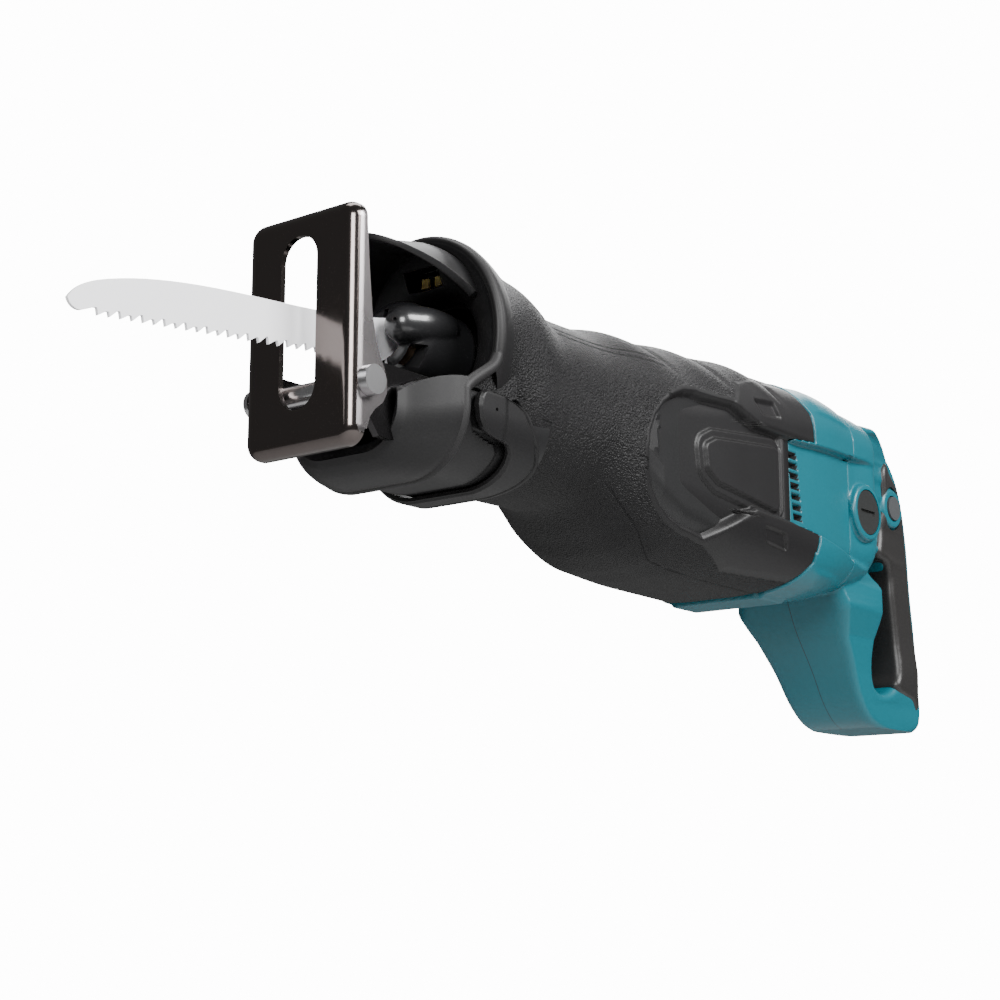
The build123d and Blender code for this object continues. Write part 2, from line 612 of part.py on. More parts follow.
LOOP_OUTER = [(380, 27), (405, 25), (421, 20), (434, 12), (441, 1), (447, -23), (450, -54), (453, -75)]
LOOP_OUTER += [(456, -105), (455, -119), (448, -128), (403, -128), (392, -121), (357, -74), (352, -60)]
LOOP_HOLE = [(OPENING_FRONT, -46), (OPENING_FRONT, -103), (402, -108.5), (422, -108.5), (428, -102)]
LOOP_HOLE += [(425, -60), (421, -45), (415, -39), (403, -39)]
LOOP_PLAN = [(350, 27), (360, 33), (392, 33), (424, 22.5), (456.5, 20.5)]
LOOP_PLAN += [(x, -y) for x, y in reversed(LOOP_PLAN)]
LOOP_FRONT = [(25, 40), (30, 0), (22.5, -24), (24, -50), (36, -62), (33, -70), (26.5, -85), (23.5, -101)]
LOOP_FRONT += [(20, -130)]
LOOP_FRONT += [(-y, z) for y, z in reversed(LOOP_FRONT)]


def outline_face(points, plane, grow):
    """Face inside a closed outline, grown outwards."""
    with BuildSketch(plane) as outline:
        with BuildLine():
            Polyline(*points, close=True)
        make_face()
        if grow:
            offset(amount=grow, kind=Kind.INTERSECTION)
    return outline.sketch


def loop_solid(shrink):
    """The D-shaped handle loop, shrunk inwards all round."""
    side = outline_face(LOOP_OUTER, Plane.XZ, -shrink) - outline_face(LOOP_HOLE, Plane.XZ, shrink)
    plan = outline_face(LOOP_PLAN, Plane.XY.offset(-140), -shrink)
    front = outline_face(LOOP_FRONT, Plane.YZ.offset(340), -shrink)
    solid = extrude(side, amount=40, both=True) & extrude(plan, amount=180)
    return solid & extrude(front, amount=130)


grip_sides = [(428, 6), (438.5, -2), (444.5, -25), (447.5, -54), (453, -104), (450, -112), (437, -104)]
grip_sides += [(427, -100), (424, -60), (420, -42), (412, -37), (413, -22)]


def grip_area(y):
    """Sides of the grip under the rubber, clear of the lock-on button's boss."""
    return side_plate(grip_sides, y) - rod_y(10.8, (y[0] - 1, y[1] + 1), *LOCK_BUTTON)


loop = loop_solid(0.0)
shell = casing(MOTOR_REAR + JOINT_GAP, 398.0, 0.0) + loop
hollow = casing(MOTOR_REAR, 396.0, -PLASTIC_WALL) + loop_solid(PLASTIC_WALL)
for side in (-1, 1):
    boss_y = sorted((side * 36.0, side * 43.0))
    shell += rod_y(14.3, boss_y, CAP_X, MOTOR_Z)
    hollow -= rod_y(14.3, sorted((side * 34.5, side * 43.0)), CAP_X, MOTOR_Z)
    hollow -= grip_area(sorted((side * (GRIP_HALF - PLASTIC_WALL), side * 30.0)))
shell += rod_y(10.5, (-24.5, -18.0), *LOCK_BUTTON)
hollow -= rod_y(8.6, (-24.5, -14.0), *LOCK_BUTTON)
hollow -= rod_y(7.0, (1.0, 24.0), *LOCK_BUTTON)
hollow -= block((379.0, 386.0), (-45, 45), (-60, 30)) - rod_x(11.0, (370, 390), z=MOTOR_Z)
for x, z in HANDLE_SCREWS:
    hollow -= rod_y(3.8, (-60.0, 60.0), x, z)
with BuildPart() as handle:
    add(shell)
    add(hollow, mode=Mode.SUBTRACT)
    for side in (-1, 1):
        add(rod_y(8.2, sorted((side * 30.0, side * 50.0)), CAP_X, MOTOR_Z), mode=Mode.SUBTRACT)
        add(rod_y(CAP_R + 0.2, sorted((side * 37.9, side * 50.0)), CAP_X, MOTOR_Z), mode=Mode.SUBTRACT)
        add(grip_area(sorted((side * GRIP_HALF, side * 30.0))), mode=Mode.SUBTRACT)
    add(rod_y(LOCK_BUTTON_R + 0.1, (-30.0, -10.0), *LOCK_BUTTON), mode=Mode.SUBTRACT)
    add(block((405.0, 431.0), (-8.3, 8.3), (-76.5, -42.5)), mode=Mode.SUBTRACT)
    add(rod_x(GLAND_R + 0.05, (445.0, 460.0), z=GLAND_Z), mode=Mode.SUBTRACT)
    for x, z in HANDLE_SCREWS:
        add(rod_y(1.6, (-8.0, 30.0), x, z), mode=Mode.SUBTRACT)
        add(rod_y(3.4, (15.5, 30.0), x, z), mode=Mode.SUBTRACT)
for half_name, span in (("handle_left", (-60, -HANDLE_SPLIT)), ("handle_right", (HANDLE_SPLIT, 60))):
    with BuildPart() as half:
        add(handle.part)
        add(block((340, 470), span, (-140, 60)), mode=Mode.INTERSECT)
    save(half, half_name)

with BuildPart() as handle_screws:
    for x, z in HANDLE_SCREWS:
        add(rod_y(1.5, (-7.0, 16.0), x, z))
        add(rod_y(3.2, (15.6, 18.0), x, z))
save(handle_screws, "handle_screws")

for side, pad_name in ((-1, "grip_pad_left"), (1, "grip_pad_right")):
    with BuildPart() as pad:
        add(grip_area(sorted((side * (GRIP_HALF + 0.05), side * (GRIP_HALF + 7.0)))))
        add(loop, mode=Mode.INTERSECT)
    save(pad, pad_name)

with BuildPart() as cord_gland:
    add(rod_x(GLAND_R, (444.0, 456.0), z=GLAND_Z, bore=CORD_R))
save(cord_gland, "cord_gland")

# ---------------------------------------------------------------- brush gear

for side, hand in ((-1, "left"), (1, "right")):
    with BuildPart() as brush_holder:
        add(rod_y(8.15, sorted((side * 14.0, side * 37.7)), CAP_X, MOTOR_Z))
        add(block((CAP_X - 3.2, CAP_X + 3.2), sorted((side * 10.0, side * 40.0)),
            (MOTOR_Z - 2.7, MOTOR_Z + 2.7)), mode=Mode.SUBTRACT)
    save(brush_holder, f"brush_holder_{hand}")
    with BuildPart() as carbon_brush:
        add(block((CAP_X - 3.1, CAP_X + 3.1), sorted((side * 12.1, side * 24.0)),
            (MOTOR_Z - 2.6, MOTOR_Z + 2.6)))
    save(carbon_brush, f"carbon_brush_{hand}")
    with BuildPart() as brush_spring:
        add(coil((CAP_X, side * 24.6, MOTOR_Z), (0, side, 0), 12.6, 1.9, 8, 0.35))
    save(brush_spring, f"brush_spring_{hand}")
    with BuildPart() as brush_cap:
        add(rod_y(CAP_R, sorted((side * 38.0, side * 42.0)), CAP_X, MOTOR_Z))
        add(block((CAP_X - 7.0, CAP_X + 7.0), sorted((side * 40.8, side * 43.0)),
            (MOTOR_Z - 1.1, MOTOR_Z + 1.1)), mode=Mode.SUBTRACT)
    save(brush_cap, f"brush_cap_{hand}")

# ---------------------------------------------------------------- trigger and lock-on button

trigger_side = [(414, -43.0), (430, -43.0), (430, -76.0), (418, -76.0), (413, -72), (416, -60), (412, -47)]
with BuildPart() as trigger:
    add(side_plate(trigger_side, (-8.0, 8.0)))
    add(block((429.5, TRIGGER[1]), (-10.0, 10.0), (-74.0, -48.0)))
    add(rod_x(4.0, (420.0, 440.0), z=-58.0), mode=Mode.SUBTRACT)
save(trigger, "trigger")

with BuildPart() as trigger_spring:
    add(coil((420.7, 0, -58.0), (1, 0, 0), 15.7, 3.0, 7, 0.5))
save(trigger_spring, "trigger_spring")

with BuildPart() as trigger_switch:
    add(block((437.3, 445.0), (-9.0, 9.0), (-74.0, -46.0)))
save(trigger_switch, "trigger_switch")

with BuildPart() as lock_button:
    add(rod_y(LOCK_BUTTON_R, (-25.5, -12.0), *LOCK_BUTTON))
    add(rod_y(8.0, (-13.5, -12.0), *LOCK_BUTTON))
save(lock_button, "lock_button")

with BuildPart() as lock_spring:
    add(coil((LOCK_BUTTON[0], -11.4, LOCK_BUTTON[1]), (0, 1, 0), 11.8, 4.0, 5, 0.5))
save(lock_spring, "lock_spring")
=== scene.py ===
import json
import math

import bmesh
import bpy
import numpy as np
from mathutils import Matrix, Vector


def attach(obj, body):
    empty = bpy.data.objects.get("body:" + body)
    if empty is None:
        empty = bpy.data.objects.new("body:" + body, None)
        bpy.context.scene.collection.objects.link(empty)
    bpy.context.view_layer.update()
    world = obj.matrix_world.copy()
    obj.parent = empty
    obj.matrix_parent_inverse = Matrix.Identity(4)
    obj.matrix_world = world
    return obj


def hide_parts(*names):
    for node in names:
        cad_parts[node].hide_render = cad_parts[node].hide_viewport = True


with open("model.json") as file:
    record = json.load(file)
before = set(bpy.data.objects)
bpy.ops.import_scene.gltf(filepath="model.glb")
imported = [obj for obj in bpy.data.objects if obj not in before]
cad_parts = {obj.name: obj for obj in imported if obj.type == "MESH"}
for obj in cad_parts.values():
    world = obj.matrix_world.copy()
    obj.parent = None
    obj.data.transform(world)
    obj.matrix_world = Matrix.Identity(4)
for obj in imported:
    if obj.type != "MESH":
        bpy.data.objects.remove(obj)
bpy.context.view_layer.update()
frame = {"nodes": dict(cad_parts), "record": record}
nodes = frame["nodes"]

# Lengths below are in millimetres, in the row frame; MM turns them into metres.
# +X runs back from the shoe, -Y is the left side and +Z is up.
MM = 0.001
HOUSING = "housing"

# Casing: station, half width, top, bottom, corner radius
ENVELOPE = [
    (76, 41, 36, -53, 38),
    (96, 41, 36, -53, 38),
    (122, 39, 27.5, -54, 36),
    (148, 40, 27, -53.5, 36),
    (170, 44.5, 28, -63, 37),
    (182, 46.5, 28.2, -69.5, 37),
    (197, 47.5, 28.5, -74, 37),
    (235, 48.5, 30, -75, 33),
    (300, 48.5, 30, -75, 27),
    (318, 47.5, 30, -73, 25),
    (349, 43.2, 29, -66.4, 23),
    (374, 41, 28, -60, 21),
    (388, 33, 27, -53, 18),
    (398, 25, 26, -45, 15),
]
BOOT_SKIN = 0.65
BOOT_WALL = 3.3
BOOT_TUNNEL_DEPTH = 16.0
BOOT_TUNNEL_REAR = 112.0
BOOT_END_SIDE = 281.0
MOTOR_START = 264.0
MOTOR_REAR = 349.0
HANDLE_FRONT = 349.4
MOTOR_Z = -25.0
PANEL_LOW = ([292, 362], [-45, -53])
PANEL_HIGH = ([293, 366], [-3.6, 1.5])
CAP_AT = (363.7, MOTOR_Z)
LOCK_AT = (425.0, -11.0)


# ---------------------------------------------------------------- mesh helpers

def new_object(name, verts, faces, smooth=True):
    """Mesh object from millimetre vertices."""
    mesh = bpy.data.meshes.new(name)
    mesh.from_pydata((np.asarray(verts, float) * MM).tolist(), [], [list(f) for f in faces])
    mesh.validate()
    bm = bmesh.new()
    bm.from_mesh(mesh)
    bmesh.ops.recalc_face_normals(bm, faces=bm.faces)
    bm.to_mesh(mesh)
    bm.free()
    mesh.polygons.foreach_set("use_smooth", [smooth] * len(mesh.polygons))
    obj = bpy.data.objects.new(name, mesh)
    bpy.context.scene.collection.objects.link(obj)
    return obj


def ring_faces(rings, count, wrap=True):
    """Quads joining successive rings of count vertices."""
    faces = []
    last = count if wrap else count - 1
    for i in range(rings - 1):
        for j in range(last):
            k = (j + 1) % count
            faces.append((i * count + j, i * count + k, (i + 1) * count + k, (i + 1) * count + j))
    return faces


def closed_rings(name, rings):
    """Closed solid from a list of rings; the first and last are capped."""
    rings = [np.asarray(r, float) for r in rings]
    count = len(rings[0])
    faces = ring_faces(len(rings), count)
    faces.append(tuple(range(count)))
    base = (len(rings) - 1) * count
    faces.append(tuple(base + j for j in range(count)))
    return new_object(name, np.concatenate(rings), faces)


def closed_sheet(name, outer, inner):
    """Solid shell between two open grids of the same shape (rows, columns, 3)."""
    rows, cols = outer.shape[:2]
    verts = np.concatenate([outer.reshape(-1, 3), inner.reshape(-1, 3)])
    size = rows * cols
    faces = []
    for i in range(rows - 1):
        for j in range(cols - 1):
            quad = (i * cols + j, i * cols + j + 1, (i + 1) * cols + j + 1, (i + 1) * cols + j)
            faces.append(quad)
            faces.append(tuple(q + size for q in reversed(quad)))
    edge = [j for j in range(cols)]
    edge += [i * cols + cols - 1 for i in range(1, rows)]
    edge += [(rows - 1) * cols + j for j in range(cols - 2, -1, -1)]
    edge += [i * cols for i in range(rows - 2, 0, -1)]
    for a, b in zip(edge, edge[1:] + edge[:1]):
        faces.append((a, b, b + size, a + size))
    return new_object(name, verts, faces)


def modify(obj, kind, **values):
    """Add a modifier and apply it."""
    mod = obj.modifiers.new(kind.lower(), kind)
    for key, value in values.items():
        setattr(mod, key, value)
    graph = bpy.context.evaluated_depsgraph_get()
    mesh = bpy.data.meshes.new_from_object(obj.evaluated_get(graph))
    obj.modifiers.clear()
    old = obj.data
    obj.data = mesh
    bpy.data.meshes.remove(old)
    return obj


def cut(obj, tool):
    """Subtract a tool object and delete it."""
    modify(obj, "BOOLEAN", operation="DIFFERENCE", object=tool, solver="EXACT")
    bpy.data.objects.remove(tool)
    return obj


def join(target, others):
    """Merge other objects' meshes into the target."""
    bm = bmesh.new()
    for obj in [target] + others:
        bm.from_mesh(obj.data)
    bm.to_mesh(target.data)
    bm.free()
    for obj in others:
        bpy.data.objects.remove(obj)
    return target


def smooth_shade(obj, angle=None):
    """Smooth shading, with sharp edges kept above an angle."""
    obj.data.polygons.foreach_set("use_smooth", [True] * len(obj.data.polygons))
    if angle:
        obj.data.set_sharp_from_angle(angle=math.radians(angle))
    return obj


def face_centres(obj):
    """Middle of each face in millimetres, as three arrays."""
    centres = np.zeros(len(obj.data.polygons) * 3)
    obj.data.polygons.foreach_get("center", centres)
    return centres.reshape(-1, 3).T / MM


def second_material(obj, material, where):
    """Give the faces marked in where another material."""
    obj.data.materials.append(material)
    obj.data.polygons.foreach_set("material_index", where.astype(np.int32))


def curve_mesh(name, curve):
    """Mesh of a curve, through a temporary object."""
    temp = bpy.data.objects.new(name, curve)
    bpy.context.scene.collection.objects.link(temp)
    bpy.context.view_layer.update()
    graph = bpy.context.evaluated_depsgraph_get()
    mesh = bpy.data.meshes.new_from_object(temp.evaluated_get(graph))
    bpy.data.objects.remove(temp)
    return mesh


def place(obj, body, material, slot_name, *replaced):
    """Give a finished piece its material, its body and the CAD nodes it stands for."""
    if material is not None:
        obj.data.materials.clear()
        obj.data.materials.append(material)
    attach(obj, body)
    if replaced:
        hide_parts(*replaced)
    return obj


def box_tool(x, y, z, name="tool"):
    """Box from its ranges along the three axes."""
    corners = [(a, b, c) for a in x for b in y for c in z]
    faces = [(0, 1, 3, 2), (4, 6, 7, 5), (0, 4, 5, 1), (2, 3, 7, 6), (0, 2, 6, 4), (1, 5, 7, 3)]
    return new_object(name, corners, faces, smooth=False)


def bar_y(x, z, rings, name="bar", count=64):
    """Turned solid about an axis along Y from (y, radius) pairs."""
    turn = np.linspace(0, 2 * math.pi, count, endpoint=False)
    loops = [
        np.stack([x + r * np.cos(turn), np.full(count, y), z + r * np.sin(turn)], 1)
        for y, r in rings
    ]
    return closed_rings(name, loops)


def bar_x(y, z, rings, name="bar", count=64):
    """Turned solid about an axis along X from (x, radius) pairs."""
    turn = np.linspace(0, 2 * math.pi, count, endpoint=False)
    loops = [
        np.stack([np.full(count, x), y + r * np.cos(turn), z + r * np.sin(turn)], 1)
        for x, r in rings
    ]
    return closed_rings(name, loops)


# ---------------------------------------------------------------- form helpers

def ease(value, low, high):
    """Smooth step from 0 at low to 1 at high."""
    share = np.clip((value - low) / (high - low), 0, 1)
    return share * share * (3 - 2 * share)


def hermite(table, x):
    """Smooth interpolation of table rows by their first column."""
    table = np.asarray(table, float)
    knots = table[:, 0]
    slopes = np.zeros_like(table[:, 1:])
    step = np.diff(knots)[:, None]
    secant = np.diff(table[:, 1:], axis=0) / step
    same = secant[:-1] * secant[1:] > 0
    mean = 2 * secant[:-1] * secant[1:] / np.where(same, secant[:-1] + secant[1:], 1)
    slopes[1:-1] = np.where(same, mean, 0)
    slopes[0] = secant[0]
    slopes[-1] = secant[-1]
    i = np.clip(np.searchsorted(knots, x) - 1, 0, len(knots) - 2)
    width = (knots[i + 1] - knots[i])[..., None]
    t = (np.asarray(x, float)[..., None] - knots[i][..., None]) / width
    a, b = table[i, 1:], table[i + 1, 1:]
    return (
        a * (1 + 2 * t) * (1 - t) ** 2 + slopes[i] * width * t * (1 - t) ** 2
        + b * t * t * (3 - 2 * t) + slopes[i + 1] * width * t * t * (t - 1)
    )


def polygon_gap(px, pz, points):
    """Signed distance to a closed outline, negative inside."""
    points = np.asarray(points, float)
    best = np.full(px.shape, 1e9)
    inside = np.zeros(px.shape, bool)
    for (ax, az), (bx, bz) in zip(points, np.roll(points, -1, 0)):
        ex, ez = bx - ax, bz - az
        t = np.clip(((px - ax) * ex + (pz - az) * ez) / (ex * ex + ez * ez), 0, 1)
        best = np.minimum(best, np.hypot(px - ax - t * ex, pz - az - t * ez))
        crosses = (az > pz) != (bz > pz)
        at = ax + (pz - az) * ex / np.where(abs(ez) < 1e-9, 1e-9, ez)
        inside ^= crosses & (px < at)
    return np.where(inside, -best, best)


def casing_surface(x, turn, grow):
    """Points of the casing at station x and angle turn, moved outwards by grow."""
    width, top, bottom, corner = np.moveaxis(hermite(ENVELOPE, x), -1, 0)
    height = (top - bottom) / 2
    middle = (top + bottom) / 2
    corner = np.minimum(corner, np.minimum(width, height) - 0.5)
    cy, cz = np.cos(turn), np.sin(turn)
    reach = np.full(x.shape, 90.0)
    for _ in range(60):
        qy = abs(reach * cy) - width + corner
        qz = abs(reach * cz) - height + corner
        gap = np.hypot(np.maximum(qy, 0), np.maximum(qz, 0)) + np.minimum(np.maximum(qy, qz), 0)
        reach = reach - (gap - corner)
    qy = np.maximum(abs(reach * cy) - width + corner, 0)
    qz = np.maximum(abs(reach * cz) - height + corner, 0)
    flat = np.where(abs(reach * cy) - width > abs(reach * cz) - height, 1.0, 0.0)
    length = np.hypot(qy, qz)
    ny = np.where(length > 1e-6, qy / np.maximum(length, 1e-6), flat) * np.sign(cy)
    nz = np.where(length > 1e-6, qz / np.maximum(length, 1e-6), 1 - flat) * np.sign(cz)
    y = reach * cy
    z = middle + reach * cz
    shift = grow(x, y, z) if callable(grow) else grow
    return np.stack([x, y + ny * shift, z + nz * shift], -1)


def oval(centre, reach, start, end, count=14):
    """Arc of an ellipse in side view, angles in degrees."""
    angles = np.radians(np.linspace(start, end, count))
    return [(centre[0] + reach[0] * math.cos(a), centre[1] + reach[1] * math.sin(a)) for a in angles]


# ---------------------------------------------------------------- materials

def material(name, colour, rough, metallic=0.0, coat=0.0, grain=None, specular=0.5, mottle=0.0):
    """Principled material; grain is (scale per metre, strength, distance in metres)."""
    mat = bpy.data.materials.new(name)
    mat.use_nodes = True
    tree = mat.node_tree
    shader = tree.nodes["Principled BSDF"]
    shader.inputs["Base Color"].default_value = (*colour, 1)
    shader.inputs["Roughness"].default_value = rough
    shader.inputs["Metallic"].default_value = metallic
    shader.inputs["Coat Weight"].default_value = coat
    shader.inputs["Coat Roughness"].default_value = 0.08
    shader.inputs["Specular IOR Level"].default_value = specular
    place_node = tree.nodes.new("ShaderNodeTexCoord")
    if mottle:
        noise = tree.nodes.new("ShaderNodeTexNoise")
        noise.inputs["Scale"].default_value = 38.0
        noise.inputs["Detail"].default_value = 4.0
        tree.links.new(place_node.outputs["Object"], noise.inputs["Vector"])
        spread = tree.nodes.new("ShaderNodeMapRange")
        spread.inputs["To Min"].default_value = max(rough - mottle, 0.02)
        spread.inputs["To Max"].default_value = rough + mottle
        tree.links.new(noise.outputs["Fac"], spread.inputs["Value"])
        tree.links.new(spread.outputs["Result"], shader.inputs["Roughness"])
    if grain:
        cells = tree.nodes.new("ShaderNodeTexNoise")
        cells.inputs["Scale"].default_value = grain[0]
        cells.inputs["Detail"].default_value = 1.0
        cells.inputs["Roughness"].default_value = 0.5
        tree.links.new(place_node.outputs["Object"], cells.inputs["Vector"])
        bump = tree.nodes.new("ShaderNodeBump")
        bump.inputs["Strength"].default_value = grain[1]
        bump.inputs["Distance"].default_value = grain[2]
        tree.links.new(cells.outputs["Fac"], bump.inputs["Height"])
        tree.links.new(bump.outputs["Normal"], shader.inputs["Normal"])
    return mat


def paint_seam_shade(mat, half_width, depth, low=-1.0):
    """Darken the colour along the plane y = 0 into a fine parting line: painted shade of the seam's groove.
    The argument low is not used.
    """
    tree = mat.node_tree
    shader = tree.nodes["Principled BSDF"]
    coord = tree.nodes["Texture Coordinate"]
    split = tree.nodes.new("ShaderNodeSeparateXYZ")
    tree.links.new(coord.outputs["Object"], split.inputs[0])
    size = tree.nodes.new("ShaderNodeMath")
    size.operation = "ABSOLUTE"
    tree.links.new(split.outputs["Y"], size.inputs[0])
    # Darker colour within half_width of y = 0: painted shade of the parting seam.
    groove = tree.nodes.new("ShaderNodeMapRange")
    groove.interpolation_type = "SMOOTHSTEP"
    groove.inputs["From Max"].default_value = half_width
    tree.links.new(size.outputs[0], groove.inputs["Value"])
    colour = shader.inputs["Base Color"].default_value[:]
    seam_shade_mix = tree.nodes.new("ShaderNodeMix")
    seam_shade_mix.data_type = "RGBA"
    seam_shade_mix.inputs["A"].default_value = (colour[0] * depth, colour[1] * depth, colour[2] * depth, 1)
    seam_shade_mix.inputs["B"].default_value = colour
    tree.links.new(groove.outputs["Result"], seam_shade_mix.inputs["Factor"])
    tree.links.new(seam_shade_mix.outputs["Result"], shader.inputs["Base Color"])
    return mat


LEATHER = (1300.0, 1.0, 0.0011)
FINE = (2600.0, 0.12, 0.0002)
MATS = {
    "rubber_black": material(
        "boot_rubber", (0.0062, 0.006, 0.0065), 0.52, specular=0.28, grain=LEATHER, mottle=0.06),
    "smooth_rubber": material(
        "smooth_rubber", (0.0078, 0.0075, 0.008), 0.46, specular=0.34, grain=FINE, mottle=0.04),
    "lip_rubber": material("lip_rubber", (0.016, 0.0155, 0.016), 0.56, specular=0.3, grain=FINE, mottle=0.04),
    "grip_rubber": material("grip_rubber", (0.016, 0.015, 0.0147), 0.4, grain=FINE, mottle=0.05),
    "teal_plastic": material("teal_plastic", (0.0013, 0.105, 0.138), 0.36, grain=FINE, mottle=0.03),
    "black_plastic": material("black_plastic", (0.012, 0.012, 0.0125), 0.42, grain=FINE, mottle=0.05),
    "grey_plastic": material("grey_plastic", (0.05, 0.053, 0.056), 0.42, grain=FINE, mottle=0.03),
    "cap_plastic": material("cap_plastic", (0.02, 0.021, 0.021), 0.32, grain=FINE, mottle=0.03),
    "shoe_metal": material("shoe_metal", (0.13, 0.112, 0.106), 0.16, metallic=1.0, mottle=0.04),
    "side_metal": material("side_metal", (0.34, 0.32, 0.325), 0.28, metallic=1.0, mottle=0.06),
    "black_metal": material("black_metal", (0.014, 0.014, 0.0148), 0.3, coat=0.6, mottle=0.03),
    "dark_steel": material("dark_steel", (0.06, 0.058, 0.06), 0.22, metallic=1.0, mottle=0.05),
    "blade_steel": material("blade_steel", (0.93, 0.93, 0.95), 0.45, mottle=0.05),
    "ground_steel": material("ground_steel", (0.32, 0.36, 0.45), 0.25, metallic=1.0, mottle=0.05),
    "steel": material("steel", (0.55, 0.55, 0.56), 0.28, metallic=1.0, mottle=0.06),
    "spring_steel": material("spring_steel", (0.2, 0.14, 0.1), 0.35, metallic=1.0, mottle=0.05),
    "bearing_steel": material("bearing_steel", (0.66, 0.66, 0.67), 0.18, metallic=1.0, mottle=0.03),
    "cast_aluminium": material("cast_aluminium", (0.008, 0.008, 0.0085), 0.42, grain=FINE, mottle=0.05),
    "iron": material("iron", (0.2, 0.2, 0.21), 0.45, metallic=1.0, mottle=0.08),
    "bronze": material("bronze", (0.5, 0.34, 0.15), 0.4, metallic=1.0, mottle=0.06),
    "copper": material("copper", (0.72, 0.34, 0.18), 0.32, metallic=1.0, mottle=0.06),
    "carbon": material("carbon", (0.03, 0.03, 0.03), 0.6, mottle=0.05),
    "led_yellow": material("led_yellow", (0.75, 0.58, 0.2), 0.35, mottle=0.03),
    # Near-black: painted shade for the inside of the motor's vent slots.
    "painted_vent_shade": material("painted_vent_shade", (0.003, 0.003, 0.003), 0.7, mottle=0.03),
}
clear = material("clear", (0.92, 0.94, 0.95), 0.05, mottle=0.02)
clear.node_tree.nodes["Principled BSDF"].inputs["Transmission Weight"].default_value = 1.0
clear.node_tree.nodes["Principled BSDF"].inputs["IOR"].default_value = 1.08
MATS["clear"] = clear
# The handle's teal gets a dark line along y = 0: painted shade of the parting seam.
MATS["handle_teal"] = paint_seam_shade(
    material("handle_teal", (0.0013, 0.105, 0.138), 0.36, mottle=0.03), 0.35 * MM, 0.12)

PAINTED = {
    "brush_cap_left": "cap_plastic",
    "brush_cap_right": "cap_plastic",
    "lever_pins": "dark_steel",
    "shoe_support": "dark_steel",
}
for entry in frame["record"]["subparts"]:
    obj = nodes[entry["node"]]
    obj.data.materials.clear()
    obj.data.materials.append(MATS[PAINTED.get(entry["node"], entry["material_slot"])])


def bright_flanges(obj, half_width):
    """Bare metal on the outer faces of the shoe's two flanges."""
    obj.data.materials.append(MATS["side_metal"])
    for face in obj.data.polygons:
        if abs(face.normal.y) > 0.9 and abs(face.center.y) > half_width * MM:
            face.material_index = 1


bright_flanges(nodes["shoe"], 27.9)


# ---------------------------------------------------------------- boot body

RECESS = (
    [(284, -3), (250, -3), (231, 3.5)]
    + oval((205, -28), (37, 31.5), 80, 270)
    + [(214, -61), (247, -42.5), (284, -44.5)]
)
PAD = [(214, -21), (219, -18.5), (266, -14), (266, -37), (221, -31.5), (215, -28)]
UPPER_FINGER = [(231, 3.5), (250, -3), (306, -3), (306, 15), (292, 25), (262, 22), (240, 16)]
LOWER_FINGER = [(214, -62), (247, -42.5), (306, -44.5), (306, -62), (292, -69), (240, -70)]
UPPER_WINDOW = [(250, 8.5), (266, 10), (269, 4.5), (254, 3.5)]
LOWER_WINDOW = [(255, -50), (272, -51), (275, -57), (259, -55.5)]


def side_share(y):
    """1 on the sides of the casing, 0 near its middle plane."""
    return ease(abs(y), 14, 24)


def boot_relief(x, y, z):
    """Outward relief of the rubber boot."""
    side = side_share(y)
    recess = polygon_gap(x, z, RECESS)
    pad = polygon_gap(x, z, PAD) - 4.0
    shift = 0.25 * (1 - ease(abs(recess - 1.6), 0.0, 2.6)) * (x < 236)
    depth = 5.3 - 1.2 * ease(x, 205, 262)
    shift = shift - depth * ease(-recess, -0.3, 1.9)
    shift = shift + (1.3 * ease(-pad, -4.5, -3.6) + 1.7 * ease(-pad, -0.3, 0.8)) * ease(-recess, 0.5, 2.0)
    band = ease(x, 271.5, 273.0) * ease(-recess, -0.4, 2.0)
    shift = shift + 1.2 * band
    upper = polygon_gap(x, z, UPPER_FINGER)
    lower = polygon_gap(x, z, LOWER_FINGER)
    raised = np.maximum(ease(-upper, -0.6, 1.8), ease(-lower, -0.6, 1.8)) * ease(recess, -1.5, 1.0)
    shift = shift + 0.5 * raised
    window = np.minimum(polygon_gap(x, z, UPPER_WINDOW), polygon_gap(x, z, LOWER_WINDOW)) - 0.7
    shift = shift - 1.5 * ease(-window, -0.3, 0.7)
    frame_line = ease(-(abs(window - 1.2) - 0.5), -0.3, 0.3)
    shift = shift + 0.25 * frame_line
    for height in (12.8, 15.4):
        line = abs(z - height + (x - 130) * 0.012) - 0.22
        shift = shift - 0.35 * ease(-line, -0.25, 0.15) * ease(x, 118, 119) * (1 - ease(x, 186, 187))
    shift = np.minimum(shift, 0.55) * side
    hump = 0.0
    for centre in (166, 206, 250):
        lean = x - centre - 0.75 * (24 - z)
        hump = hump + np.exp(-(lean / 11.5) ** 2)
        hump = hump - 0.75 * np.exp(-((lean - 17) / 3.4) ** 2)
    shift = shift + 1.5 * hump * ease(z, 6, 21) * ease(x, 140, 156) * (1 - ease(x, 272, 286))
    keel = 1 - ease(abs(y), 10, 30)
    shift = shift + 0.9 * keel * ease(x, 196, 214) * (z < -20)
    groove = abs(abs(y) - 30 + 7 * ease(x, 175, 200)) - 0.2
    shift = shift - 0.5 * ease(-groove, -0.3, 0.2) * (z < -38) * ease(x, 150, 165)
    return shift


def boot_end(y, z):
    """Where the rubber stops along X, from a place on the section."""
    by_height = np.interp(
        z, [-75, -70, -60, -46.6, -44.8, -3.6, -1.8, 12, 24, 32],
        [285, 292, 300, 303, BOOT_END_SIDE, BOOT_END_SIDE, 301, 300, 292, 291])
    belly = np.interp(abs(y), [0, 22, 27, 40], [282, 283, 291, 300])
    return np.where(z < -55, np.minimum(by_height, belly), by_height)


def boot_start(z):
    """Where the rubber starts along X: under the hood above, and close behind the lever below."""
    return np.interp(
        z, [-54, -51, -48, -43, -38, -33, -29.5, -27, -24.5, -23.4],
        [97, 101.5, 103, 100.5, 97.5, 93.5, 90.5, 86.5, 82, 100])


